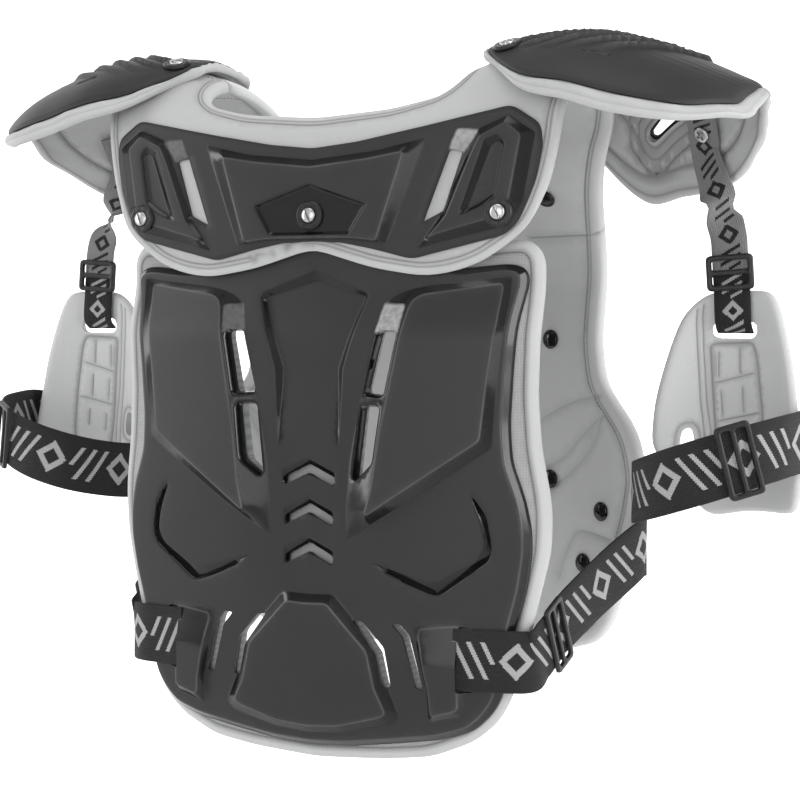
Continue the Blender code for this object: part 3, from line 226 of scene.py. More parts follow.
# Places on the lower plate, as shares of its half width and its height from the top
PLATE_OUTLINE = (
    (0.0, 0.0), (0.43, 0.045), (0.67, 0.07), (0.89, 0.06), (0.95, 0.067), (0.975, 0.087), (0.945, 0.16),
    (0.925, 0.255), (0.91, 0.363), (0.92, 0.433), (0.945, 0.465), (0.975, 0.503), (1.0, 0.56),
    (1.0, 0.61), (0.975, 0.677), (0.927, 0.753), (0.87, 0.88), (0.84, 0.906), (0.8, 0.928),
    (0.738, 0.952), (0.6, 0.97), (0.365, 0.985), (0.18, 0.996), (0.0, 1.0),
)
FIELD_OUTER = (
    (0.915, 0.083), (0.9, 0.178), (0.865, 0.323), (0.85, 0.406), (0.44, 0.524), (0.186, 0.592),
    (0.188, 0.524), (0.2, 0.444), (0.232, 0.363), (0.272, 0.277), (0.312, 0.194), (0.355, 0.133),
    (0.4, 0.117), (0.465, 0.107), (0.55, 0.1),
)
FIELD_ISLAND = (
    (0.872, 0.097), (0.86, 0.177), (0.83, 0.272), (0.8, 0.392), (0.55, 0.466), (0.3, 0.54),
    (0.332, 0.487), (0.363, 0.384), (0.424, 0.247), (0.47, 0.14), (0.488, 0.126), (0.525, 0.118),
    (0.615, 0.113),
)
LONG_VENTS = (
    ((0.34, 0.19), (0.42, 0.19), (0.366, 0.31), (0.274, 0.307)),
    ((0.266, 0.333), (0.35, 0.333), (0.32, 0.438), (0.229, 0.473)),
)
HEX_OUTER = (
    (0.0, 0.698), (0.125, 0.696), (0.341, 0.8), (0.381, 0.874), (0.433, 0.93), (0.39, 0.945),
    (0.17, 0.968), (0.0, 0.974),
)
HEX_TOP = (
    (0.0, 0.717), (0.1, 0.715), (0.29, 0.803), (0.325, 0.874), (0.378, 0.922), (0.34, 0.93),
    (0.15, 0.952), (0.0, 0.957),
)
LOWER_VENT = ((0.395, 0.749), (0.436, 0.747), (0.479, 0.768), (0.537, 0.871), (0.503, 0.871), (0.445, 0.774))
BLOCK_OUTER = ((0.73, 0.728), (0.728, 0.92), (0.56, 0.938), (0.555, 0.88), (0.5, 0.77), (0.48, 0.735))
BLOCK_TOP = ((0.703, 0.745), (0.703, 0.905), (0.585, 0.92), (0.578, 0.88), (0.53, 0.78), (0.52, 0.755))
SLOT_INNER = 0.695
SLOT_OUTER = 0.757

# Half width and height shares of the lower pad's outline
BACK_PAD_OUTLINE = (
    (0.0, 0.0), (0.45, 0.02), (0.9, 0.0), (0.96, 0.03), (0.96, 0.16), (0.95, 0.29), (0.963, 0.39),
    (0.994, 0.477), (1.0, 0.52), (0.994, 0.584), (0.96, 0.653), (0.92, 0.732), (0.85, 0.849),
    (0.79, 0.905), (0.69, 0.947), (0.514, 0.981), (0.314, 0.992), (0.0, 1.0),
)

# Places on the upper plate, as shares of its half width and its height from the top
YOKE_OUTLINE = (
    (0.0, 0.245), (0.2, 0.21), (0.49, 0.123), (0.69, 0.057), (0.86, 0.0), (0.975, 0.125),
    (0.985, 0.245), (0.96, 0.49), (0.92, 0.66), (0.891, 0.764), (0.834, 0.849), (0.451, 1.0),
    (0.28, 0.93), (0.137, 0.885), (0.0, 0.875),
)
PANEL_OUTER = ((0.0, 0.32), (0.3, 0.27), (0.514, 0.19), (0.345, 0.895), (0.19, 0.865), (0.0, 0.86))
PANEL_TOP = ((0.0, 0.375), (0.26, 0.33), (0.417, 0.288), (0.305, 0.872), (0.19, 0.852), (0.0, 0.848))
PENTAGON = ((0.0, 0.48), (0.263, 0.627), (0.185, 0.835), (0.0, 0.835))
YOKE_SCREWS = (("centre", 0.0, 0.7), ("right", 0.823, 0.7), ("left", -0.823, 0.7))

# Outline of the chest padding: share of the chest half width, and share down the front, which is 1 at
# the foot of the arch and 2 at the hem
CHEST_OUTLINE = (
    (0.535, 0.0), (0.51, 0.35), (0.47, 0.7), (0.42, 0.97), (0.32, 1.06), (0.17, 1.095), (0.0, 1.1),
)
CHEST_SIDE = (
    (0.975, 0.0), (0.965, 0.5), (0.93, 0.9), (0.86, 1.1), (0.81, 1.215), (0.79, 1.284), (0.775, 1.375),
    (0.8, 1.45), (0.86, 1.487), (0.93, 1.525), (0.97, 1.563), (1.0, 1.627), (0.975, 1.694),
    (0.96, 1.72), (0.865, 1.88), (0.83, 1.92), (0.76, 1.955), (0.6, 1.98), (0.45, 1.99), (0.3, 1.996),
    (0.15, 2.0), (0.0, 2.0),
)

# Stations of the shoulder cap: share of its length, then its rear edge, ridge and front edge
CAP_STATIONS = (
    # share, rear_y, rear_z, ridge_y, ridge_rise, front_y, front_z
    (0.0, -43.0, 24.0, -6.0, -2.0, 39.0, 23.0),
    (0.2, -80.0, -4.0, -2.0, 1.5, 88.0, -40.0),
    (0.39, -90.0, -14.0, 5.0, 4.0, 105.0, -77.0),
    (0.56, -90.0, -24.0, 8.0, 1.5, 99.0, -74.0),
    (0.74, -80.0, -30.0, 8.0, -9.0, 84.0, -69.0),
    (0.905, -47.0, -32.0, 6.0, -25.0, 50.0, -55.0),
    (1.0, -12.0, -42.0, 2.0, -38.0, 16.0, -47.0),
)
CAP_OUTLINE = (
    (0.0, 0.9), (0.0, 0.0), (0.0, -0.9), (0.05, -1.0), (0.3, -1.0), (0.6, -1.0), (0.85, -1.0),
    (0.97, -0.85), (1.0, -0.4), (1.0, 0.4), (0.97, 0.85), (0.85, 1.0), (0.6, 1.0), (0.3, 1.0), (0.05, 1.0),
)
CAP_TURN_SCALE = 100.0
CAP_WASHER_SHARE = 0.1
CAP_WASHER_TURN = -0.54
HANGER_SHARE = 0.7
HANGER_TURNS = (0.54, 0.68, 0.8)

# Outline of an arm guard: outward share of its half width, share of its height
GUARD_OUTLINE = (
    (-0.17, 0.0), (0.5, 0.0), (0.63, 0.09), (0.74, 0.22), (0.83, 0.35), (0.9, 0.5), (1.0, 0.7),
    (0.99, 0.88), (0.9, 0.965), (0.23, 0.965), (-0.28, 1.0), (-0.98, 0.69), (-0.965, 0.58),
    (-0.93, 0.48), (-0.85, 0.37), (-0.74, 0.24), (-0.6, 0.11), (-0.38, 0.03),
)
GUARD_TOP_SLOT = ((-0.25, 0.135), (0.33, 0.135), (0.33, 0.21), (-0.25, 0.21))

# Rivets of the chest lining: share of the chest half width, share down the front, and the clearance of
# its seat; one on each side
CHEST_RIVETS = (
    (0.63, 1.1, 0.8), (0.554, 1.368, 0.45), (0.554, 1.642, 0.45), (0.81, 1.696, 0.45), (0.72, 1.8, 0.45),
)

SIDES = (("right", 1), ("left", -1))

# Finer marks than the solids have: rims, seams and stitches
YOKE_EDGE_WIDTH = 3.0
YOKE_EDGE_DROP = 1.2
SEAM_WIDTH = 0.9
SEAM_DEPTH = 0.8
STITCH_RADIUS = 0.35
STITCH_LIFT = 0.2
PLATE_CORNER = 0.45
BINDING_WIDTH = 7.0
BACK_SEAM = 8.5
MARGIN_PUFF = 0.5
YOKE_BINDING = 5.5
YOKE_SEAM = 8.5
YOKE_PUFF = 1.5
CHEST_BINDING = 9.0
CHEST_SEAM = 12.0
CREASE_WIDTH = 2.2
CREASE_DEPTH = 1.5

# The upper pad's outline: half width share, and share of its straight part below 0, of its arch above 0
UPPER_PAD_OUTLINE = (
    (0.0, -0.8), (0.25, -0.94), (0.45, -1.0), (0.57, -0.97), (0.68, -0.9), (0.8, -0.74), (0.86, -0.62),
    (0.915, -0.36), (0.945, -0.1), (0.96, 0.15), (0.985, 0.5), (0.985, 0.94), (0.55, 0.94),
    (0.545, 0.7), (0.53, 0.45), (0.47, 0.33), (0.31, 0.22), (0.0, 0.16),
)

# Finer shapes on the plates, as shares of the plate's half width and height
VEE_EDGE = ((0.0, 0.07), (0.272, 0.116), (0.17, 0.261), (0.157, 0.36), (0.15, 0.43), (0.0, 0.43))
VEE_BED = ((0.0, 0.093), (0.245, 0.124), (0.135, 0.261), (0.148, 0.355), (0.145, 0.42), (0.0, 0.42))
# How far up the recess fades in, and where its walls stand that are glossy and painted darker as shade
VEE_FADE = 62.0
VEE_WALL_X = 22.5
VEE_WALL_Z = -170.0
CRESCENT = (
    (0.745, 0.487), (0.822, 0.533), (0.845, 0.59), (0.832, 0.62), (0.623, 0.688), (0.583, 0.692),
    (0.492, 0.677), (0.375, 0.654), (0.28, 0.626), (0.399, 0.642), (0.526, 0.66), (0.583, 0.664),
    (0.618, 0.66), (0.78, 0.619), (0.81, 0.591), (0.795, 0.552),
)
CRESCENT_VALLEY = (
    (0.765, 0.505), (0.812, 0.543), (0.834, 0.59), (0.82, 0.615), (0.62, 0.68), (0.581, 0.684),
    (0.492, 0.671), (0.375, 0.65),
)
BLOCK_FADE = 40.0
HEX_SIDE_VENT = (
    (0.214, 0.744), (0.262, 0.747), (0.361, 0.795), (0.392, 0.871), (0.354, 0.872), (0.322, 0.809),
)
CHEVRON_LIP = 4.5
CHEVRON_SINK = 4.0
# Share of the painted softbox reflection that the left side's facets get
LEFT_REFLECTION = 0.3
# Facets that carry a painted softbox reflection, on the lower and the upper plate
GROOVE_FACET = ((0.35, 0.135), (0.449, 0.137), (0.434, 0.19), (0.321, 0.19))
YOKE_FACET = ((0.638, 0.148), (0.73, 0.156), (0.668, 0.305), (0.604, 0.283))
SIDE_VENT = ((0.604, 0.283), (0.66, 0.3), (0.583, 0.685), (0.497, 0.755))
SIDE_UNIT = (
    (0.715, 0.155), (0.851, 0.067), (0.964, 0.186), (0.917, 0.639), (0.86, 0.79), (0.581, 0.89),
    (0.472, 0.943), (0.573, 0.72), (0.68, 0.31),
)
SIDE_UNIT_TOP = (
    (0.742, 0.2), (0.845, 0.115), (0.905, 0.2), (0.862, 0.61), (0.8, 0.73), (0.575, 0.83), (0.53, 0.86),
    (0.605, 0.72), (0.705, 0.32),
)
SIDE_PILL = (
    (0.757, 0.22), (0.812, 0.185), (0.845, 0.25), (0.806, 0.589), (0.745, 0.665), (0.652, 0.725), (0.68, 0.6),
)
SIDE_PILL_FLOOR = (
    (0.787, 0.265), (0.812, 0.235), (0.83, 0.262), (0.796, 0.575), (0.738, 0.64), (0.69, 0.68), (0.715, 0.58),
)

# Seams and moulded creases of the chest lining: half width share, share down the front
CHEST_SEAMS = (((0.5, 1.172), (0.785, 1.169), (0.84, 1.165)),)
CHEST_CREASES = (
    ((0.803, 1.51), (0.7, 1.556), (0.603, 1.604), (0.45, 1.64)),
    ((0.803, 1.512), (0.746, 1.58), (0.603, 1.644), (0.42, 1.69)),
    ((0.4, 1.56), (0.503, 1.527), (0.65, 1.49), (0.8, 1.473)),
    ((0.6, 1.83), (0.623, 1.794), (0.659, 1.757), (0.708, 1.738), (0.85, 1.748)),
)

# Raised panels and sunk slots of the chest plate, in the same shares
SHIELD_RISE = 4.0
SHIELD_SINK = 1.6
SHIELD_MIDDLE_SLOPE = 7.0
SHIELD_PANEL_SLOPE = 6.0
SHIELD_SLOT_SLOPE = 2.5
SHIELD_MIDDLE = ((0.0, 1.29), (0.11, 1.3), (0.16, 1.55), (0.12, 1.86), (0.0, 1.88))
SHIELD_SIDE_PANELS = (
    ((0.2, 1.3), (0.54, 1.28), (0.6, 1.4), (0.57, 1.47), (0.26, 1.53)),
    ((0.27, 1.59), (0.62, 1.52), (0.74, 1.63), (0.66, 1.75), (0.24, 1.8)),
)
SHIELD_SLOTS = (((0.22, 1.85), (0.56, 1.81), (0.55, 1.84), (0.22, 1.88)),)

# Lobes and ribs of the shoulder caps: shares of the cap's length, and of its half turn over the ridge
LOBE_FIRST = 0.3
LOBE_PITCH = 0.095
LOBE_COUNT = 5
LOBE_SLANT = 0.6
LOBE_RISE = 4.2
# How much lower than the plain cap's the ridge lies at each station
CAP_RIDGE_FALL = (0.0, 0.0, 2.0, 7.0, 9.0, 8.0, 4.0)
RIB_PITCH = 0.075
RIB_RISE = 0.35
CAP_RIM_SWELL = 1.8
CAP_RIM_SEAM = 3.5
CAP_SLIT = ((0.41, -0.575), (0.51, -0.565), (0.512, -0.53), (0.413, -0.54))
CAP_VENT = ((0.432, 0.72), (0.515, 0.615), (0.593, 0.615), (0.455, 0.735))
CAP_FRAME_MARGINS = (4.0, 9.0, 15.0)
CAP_LINING_LINES = (
    ((0.12, 0.82), (0.375, 0.89), (0.6, 0.86), (0.8, 0.8), (0.885, 0.6), (0.9, 0.2)),
    ((0.2, 0.5), (0.34, 0.64), (0.4, 0.8)),
    ((0.05, 0.6), (0.113, 0.72), (0.2, 0.76)),
    ((0.2, -0.48), (0.5, -0.55), (0.82, -0.48)),
    ((0.25, -0.76), (0.55, -0.8), (0.82, -0.7)),
    ((0.42, -0.15), (0.43, -0.72)),
    ((0.62, -0.15), (0.64, -0.72)),
)

# Pressed lines of the arm guards' lining: millimetres outward of the middle, and Z
GUARD_SIDE_SLOT = ((-36.0, -247.5), (-28.0, -246.0), (-25.0, -263.0), (-30.0, -268.0), (-38.0, -264.0))
GUARD_RAISED = (
    (-16.0, -185.0), (15.5, -183.5), (18.5, -192.5), (23.5, -231.0), (26.0, -262.0), (24.0, -284.0),
    (-6.0, -286.0), (-11.5, -250.0), (-14.0, -215.0),
)
GUARD_LADDER = (
    ((-20.5, -157.0), (-21.5, -165.0), (-20.5, -190.0), (-18.0, -228.0), (-14.0, -256.0), (-12.0, -290.0)),
    ((-25.5, -160.0), (-26.0, -170.0), (-25.0, -190.0), (-22.5, -228.0), (-19.0, -256.0), (-17.0, -290.0)),
    ((-9.5, -191.5), (-9.5, -207.0)),
    ((6.0, -190.0), (6.5, -206.0)),
    ((-10.0, -213.0), (16.0, -206.0)),
    ((-7.5, -221.0), (-6.5, -235.5)),
    ((8.5, -217.0), (9.5, -233.5)),
    ((-8.5, -241.0), (19.0, -235.0)),
    ((-4.0, -250.0), (-3.0, -262.0)),
    ((12.0, -246.0), (13.0, -258.0)),
)
WASHER_DIMPLES = 8
DIMPLE_PLACE = 8.0
DIMPLE_SIZE = 0.55
SCREW_TILT = 24.0

# Rolled edges of the pads: width of the roll, and how much of the thickness it takes
BACK_ROLL = (7.0, 0.36)
YOKE_ROLL = (6.0, 0.3)
CHEST_ROLL = (7.0, 0.3)
CAP_ROLL = (6.0, 0.45)
GUARD_ROLL = (6.0, 0.4)
GUARD_OUTER_ROLL = (4.0, 0.36)
# How far from a pad's edge its marks reach
EDGE_REACH = 30.0
LINING_REACH = 40.0
CAP_REACH = 60.0

# Spacing of the nets' places
LOWER_PLATE_CELL = 4.2
UPPER_PLATE_CELL = 3.6
LOWER_PAD_CELL = 6.0
UPPER_PAD_CELL = 4.5
CHEST_CELL = 6.0
CAP_COVER_CELL = 2.6
CAP_FOAM_CELL = 3.6
GUARD_COVER_CELL = 4.0
GUARD_FOAM_CELL = 3.2

# The stage: a bowl of paper round the vest, and the camera, both in metres where they say place
STAGE_RADIUS = 3400.0
STAGE_BEND = 1200.0
STAGE_HEIGHT = 3400.0
STAGE_SIDES = 96
FLOOR_Z = -540.0
BACKDROP_GLOW = 1.05
FRONT_GLOW = 0.1
SEAT_GLOW = 0.6
CAMERA_PLACE = (0.6537, -1.3312, -0.1512)
CAMERA_TURN = (87.0, 0.0, 25.0)
CAMERA_LENS = 87.84
LAMP_TARGET = (0.0, 0.0, -0.22)
# name, place, width, height, power
SOFTBOXES = (
    ("overhead", (0.1, -0.45, 1.75), 1.5, 1.3, 15.0),
    ("left_box", (-1.7, -1.0, 0.3), 0.45, 1.6, 16.0),
    ("right_box", (1.9, -0.3, 0.3), 0.45, 1.6, 20.0),
    ("front_fill", (0.35, -2.3, 0.1), 1.4, 1.2, 13.0),
)
WORLD_GLOW = 0.4
# Grey of the painted highlight lines along raised edges
EDGE_HIGHLIGHT_GREY = (0.16, 0.16, 0.16)
# Grey of the painted softbox reflection
REFLECTION_GREY = (0.34, 0.34, 0.34)
BINDING_TONE = 1.12
EXPOSURE = 0.0


def lerp(start, end, share):
    return start + (end - start) * share


def smooth_step(share):
    share = np.clip(share, 0.0, 1.0)
    return share * share * (3.0 - 2.0 * share)


def unit(vectors):
    length = np.linalg.norm(vectors, axis=-1, keepdims=True)
    return vectors / np.maximum(length, 1e-9)


def mirrored(points):
    """The same outline on the other side, in the same turning direction."""
    return np.array(points, float)[::-1] * (-1.0, 1.0)


def symmetric(points):
    """A closed outline from its right half, whose first and last points lie on the middle line."""
    left = mirrored(points)
    return np.vstack([points, left[np.abs(left[:, 0]) > 1e-6]])


def folded(at):
    """The places with those of the left half laid over the right half."""
    return np.stack([np.abs(at[:, 0]), at[:, 1]], 1)


def spread(shares, half_width, top, height):
    """Places from shares of a half width, and of a height counted down from the top."""
    return np.array(shares, float) * (half_width, -height) + (0.0, top)


def both_sides(loops):
    return [*loops, *(mirrored(loop) for loop in loops)]


def smooth_curve(points, steps):
    """Catmull-Rom curve: each span is a cubic through its two points with slopes from their neighbours."""
    points = np.array(points, float)
    index = np.arange(len(points) - 1)[:, None] + np.array([-1, 0, 1, 2])
    index = np.clip(index, 0, len(points) - 1)
    a, b, c, d = (points[index[:, column]][:, None, :] for column in range(4))
    t = (np.arange(steps) / steps)[None, :, None]
    curve = 0.5 * (2 * b + (c - a) * t + (2 * a - 5 * b + 4 * c - d) * t ** 2
                   + (3 * b - a - 3 * c + d) * t ** 3)
    return np.vstack([curve.reshape(-1, points.shape[1]), points[-1:]])


def softened(loop, radius, closed=True, steps=4):
    """Each corner becomes a quadratic curve whose ends lie a radius along its two sides.

    A short side gives at most 0.45 of its length.
    """
    here = np.array(loop, float)
    back, ahead = np.roll(here, 1, 0) - here, np.roll(here, -1, 0) - here
    first = here + unit(back) * np.minimum(radius, 0.45 * np.linalg.norm(back, axis=1))[:, None]
    last = here + unit(ahead) * np.minimum(radius, 0.45 * np.linalg.norm(ahead, axis=1))[:, None]
    t = np.linspace(0.0, 1.0, steps)[:, None, None]
    curve = (1 - t) ** 2 * first + 2 * t * (1 - t) * here + t * t * last
    curve = curve.transpose(1, 0, 2)
    if closed:
        return curve.reshape(-1, 2)
    return np.vstack([here[:1], curve[1:-1].reshape(-1, 2), here[-1:]])


def evenly(line, step, closed=True):
    """Places at an even spacing along a line, by linear interpolation over its length."""
    line = np.array(line, float)
    if closed:
        line = np.vstack([line, line[:1]])
    along = np.concatenate([[0.0], np.cumsum(np.linalg.norm(np.diff(line, axis=0), axis=1))])
    count = max(int(round(along[-1] / step)), 6)
    at = np.linspace(0.0, along[-1], count + 1)
    result = np.stack([np.interp(at, along, line[:, axis]) for axis in range(line.shape[1])], 1)
    return result[:-1] if closed else result


def line_distance(at, line, closed=True, reach=1e9):
    """Distance from each place to a line, and reach where that is further than reach."""
    result = np.full(len(at), float(reach))
    near = np.flatnonzero(((at >= line.min(0) - reach) & (at <= line.max(0) + reach)).all(1))
    if near.size == 0:
        return result
    spot = at[near]
    best = np.full(len(near), float(reach) ** 2)
    starts, ends = (line, np.roll(line, -1, 0)) if closed else (line[:-1], line[1:])
    for start, end in zip(starts, ends):
        side = end - start
        share = np.clip((spot - start) @ side / max(side @ side, 1e-12), 0.0, 1.0)
        gap = spot - start - share[:, None] * side
        best = np.minimum(best, (gap * gap).sum(1))
    result[near] = np.sqrt(best)
    return result


def inside(at, loop):
    """True where a ray along +x crosses the loop an odd number of times."""
    x, y = at.T
    result = np.zeros(len(at), bool)
    for (ax, ay), (bx, by) in zip(loop, np.roll(loop, -1, 0)):
        if ay != by:
            result ^= ((ay > y) != (by > y)) & (x < ax + (y - ay) * (bx - ax) / (by - ay))
    return result


def grown(loop, amount):
    """Each corner of a closed outline moved outward along its bisector; inward if amount is below 0."""
    loop = np.array(loop, float)
    x, y = loop.T
    turn = np.sign(np.sum(x * np.roll(y, -1) - np.roll(x, -1) * y))
    first = unit(loop - np.roll(loop, 1, 0))
    second = unit(np.roll(loop, -1, 0) - loop)
    along = unit(first + second)
    cosine = np.maximum((along * first).sum(1), 0.5)
    normal = np.stack([along[:, 1], -along[:, 0]], 1)
    return loop + turn * amount * normal / cosine[:, None]


def ramp(at, outer, inner, inner_closed=True):
    """0 at the outer loop, 1 at the inner loop and inside it, and even between the two."""
    share = np.zeros(len(at))
    within = np.flatnonzero(inside(at, outer))
    if within.size == 0:
        return share
    spot = at[within]
    to_outer = line_distance(spot, outer)
    to_inner = line_distance(spot, inner, inner_closed)
    value = to_outer / np.maximum(to_outer + to_inner, 1e-6)
    if inner_closed:
        value[inside(spot, inner)] = 1.0
    share[within] = value
    return share


def slope_of(share):
    """1 on a ramp's slope, 0 on the flats at both of its ends."""
    return np.clip(12.0 * np.minimum(share, 1.0 - share), 0.0, 1.0)


def painted_edge_highlight(at, loops, width=0.9):
    """1 on any of the loops, 0 from a width away: where a painted highlight line lies along a raised edge."""
    near = np.minimum.reduce([line_distance(at, loop, True, width) for loop in loops])
    return 1.0 - near / width


def groove(at, line, width, closed=False):
    """A soft channel along a line: a bell curve of the distance to it."""
    near = line_distance(at, np.array(line, float), closed, 3.0 * width)
    return np.exp(-(near / width) ** 2) * (near < 3.0 * width)


def rounded(relief, at, radius=0.8):
    """A relief averaged over five near places, so that its creases get a small radius."""
    shifts = radius * np.array([(0, 0), (1, 0), (-1, 0), (0, 1), (0, -1)], float)
    return sum(relief(at + shift) for shift in shifts) / len(shifts)


def beside_rows(line, closed, offsets):
    """Rows of places beside a line, moved along its normals by each of the offsets, on both sides."""
    if closed:
        along = unit(np.roll(line, -1, 0) - np.roll(line, 1, 0))
    else:
        along = unit(np.gradient(line, axis=0))
    normal = np.stack([along[:, 1], -along[:, 0]], 1)
    return [line + side * offset * normal for offset in offsets for side in (-1.0, 1.0)]


def flat_net(outline, cell, loops=(), holes=(), chains=(), step=2.2, offsets=(1.0,)):
    """Places and triangles over a flat outline.

    The triangulation is constrained to the outline, loops, holes and open chains, has rows of places
    beside each of them, and a staggered lattice of the cell's spacing in the rest.
    """
    lines = [(np.array(line, float), True) for line in (outline, *loops, *holes)]
    lines += [(np.array(line, float), False) for line in chains]
    drawn, edges, rows, start = [], [], [], 0
    for line, closed in lines:
        line = evenly(line, step, closed)
        order = start + np.arange(len(line))
        follow = np.roll(order, -1)
        pairs = np.stack([order, follow], 1)
        edges.append(pairs if closed else pairs[:-1])
        drawn.append(line)
        rows += beside_rows(line, closed, offsets)
        start += len(line)
    low, high = drawn[0].min(0), drawn[0].max(0)
    across = np.arange(low[0], high[0] + cell, cell)
    down = np.arange(low[1], high[1] + cell, 0.866 * cell)
    lattice = np.stack(np.meshgrid(across, down), -1)
    lattice[1::2, :, 0] += 0.5 * cell
    lattice = lattice.reshape(-1, 2)
    loose = np.vstack([*rows, lattice])
    clearance = np.full(len(loose), 0.7 * min(offsets))
    clearance[-len(lattice):] = max(offsets) + 0.45 * cell
    keep = inside(loose, drawn[0])
    for line, closed in lines:
        keep &= line_distance(loose, line, closed, 2.0 * cell) > clearance
    places = np.vstack([*drawn, loose[keep]])
    flat, _, faces, *_ = delaunay_2d_cdt(places.tolist(), np.vstack(edges).tolist(), [], 0, 1e-5)
    at = np.array(flat, float)
    triangles = np.array(faces, int)
    centre = at[triangles].mean(1)
    kept = inside(centre, drawn[0])
    for hole in drawn[1 + len(loops):1 + len(loops) + len(holes)]:
        kept &= ~inside(centre, hole)
    triangles = triangles[kept]
    used, numbers = np.unique(triangles, return_inverse=True)
    return at[used], numbers.reshape(-1, 3)


def outward(points, faces):
    """The faces of a closed mesh, turned so that its volume is above 0."""
    a, b, c = points[faces[:, 0]], points[faces[:, 1]], points[faces[:, 2]]
    volume = (a * np.cross(b, c)).sum()
    return faces if volume > 0 else faces[:, ::-1]


def closed_sheet(triangles, front, back):
    """Front and back faces over the same triangles, joined by a wall along every border edge."""
    count = len(front)
    edges = np.vstack([triangles[:, [0, 1]], triangles[:, [1, 2]], triangles[:, [2, 0]]])
    border = edges[~np.isin(edges[:, 0] * count + edges[:, 1], edges[:, 1] * count + edges[:, 0])]
    start, end = border.T
    walls = np.vstack([np.stack([end, start, start + count], 1),
                       np.stack([end, start + count, end + count], 1)])
    faces = np.vstack([triangles, triangles[:, ::-1] + count, walls])
    points = np.vstack([front, back])
    return points, outward(points, faces)


def add_piece(name, points, faces, material, nodes=(), uv=None, finish=None, sharp=50.0):
    """One piece of the vest from points in millimetres; its marks and finish go in as point values."""
    mesh = bpy.data.meshes.new(name)
    mesh.vertices.add(len(points))
    mesh.vertices.foreach_set("co", (points * MM).astype(np.float32).ravel())
    mesh.loops.add(faces.size)
    mesh.loops.foreach_set("vertex_index", faces.astype(np.int32).ravel())
    mesh.polygons.add(len(faces))
    mesh.polygons.foreach_set("loop_start", np.arange(0, faces.size, faces.shape[1], dtype=np.int32))
    mesh.update(calc_edges=True)
    if uv is not None:
        layer = mesh.uv_layers.new(name="UVMap")
        layer.data.foreach_set("uv", (uv * MM).astype(np.float32)[faces.ravel()].ravel())
    for title, values in (finish or {}).items():
        attribute = mesh.attributes.new(title, "FLOAT", "POINT")
        attribute.data.foreach_set("value", np.asarray(values, np.float32))
    mesh.materials.append(material)
    mesh.shade_smooth()
    mesh.set_sharp_from_angle(angle=math.radians(sharp))
    piece = bpy.data.objects.new(name, mesh)
    bpy.context.scene.collection.objects.link(piece)
    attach(piece, "root")
    if nodes:
        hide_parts(*nodes)
    return piece


def twice(values):
    """The same values on the front and on the back of a closed sheet."""
    return np.concatenate([values, values])


def add_sheet(name, net, front, back, material, node, finish=None, sharp=50.0):
    """A piece from a front and a back over one flat net, which is its pattern map too."""
    at, triangles = net
    points, faces = closed_sheet(triangles, front, back)
    return add_piece(name, points, faces, material, [node], twice(at), finish, sharp)


def add_pad(name, net, front, back, cloth, slot, node, binding, seam_and_shade, rear_seam_and_shade=None, fill=0.7):
    """A padded sheet; its back has the front's seams unless it has its own, and the seam mark is darkened in
    the cloth as painted shade.
    """
    seams = np.concatenate([seam_and_shade, seam_and_shade if rear_seam_and_shade is None else rear_seam_and_shade])
    finish = {"binding": twice(binding), "seam_and_shade": seams}
    add_sheet(name, net, front, back, cloth, node, finish)


def ribbon(path, across, width, thickness=STRAP_THICKNESS, steps=8):
    """A woven band: a rounded flat section carried along a Catmull-Rom curve.

    The section's corners are cut by a part of the thickness. The first pattern direction runs across
    the band from its middle, the second along it.
    """
    spine = smooth_curve(path, steps)
    along = unit(np.gradient(spine, axis=0))
    side = smooth_curve(across, steps)
    side = unit(side - along * (side * along).sum(1, keepdims=True))
    normal = np.cross(side, along)
    half, cut, thick = width / 2, 0.35 * thickness, thickness / 2
    inner = np.linspace(-half + cut, half - cut, 7)
    wide = np.concatenate([inner, [half, half], inner[::-1], [-half, -half]])
    deep = np.concatenate([np.full(7, -thick), [-thick + cut, thick - cut], np.full(7, thick),
                           [thick - cut, -thick + cut]])
    points = spine[:, None] + side[:, None] * wide[:, None] + normal[:, None] * deep[:, None]
    rows, columns = len(spine), len(wide)
    grid = np.arange(rows * columns).reshape(rows, columns)
    near, far = grid[:-1], grid[1:]
    near_next, far_next = np.roll(near, -1, 1), np.roll(far, -1, 1)
    skin = [np.stack([near, near_next, far_next], -1).reshape(-1, 3),
            np.stack([near, far_next, far], -1).reshape(-1, 3)]
    fan = np.stack([np.zeros(columns - 2, int), np.arange(1, columns - 1), np.arange(2, columns)], 1)
    ends = [fan[:, ::-1], fan + (rows - 1) * columns]
    length = np.concatenate([[0.0], np.cumsum(np.linalg.norm(np.diff(spine, axis=0), axis=1))])
    uv = np.stack(np.broadcast_arrays(wide[None, :], length[:, None]), -1).reshape(-1, 2)
    points = points.reshape(-1, 3)
    return points, outward(points, np.vstack(skin + ends)), uv


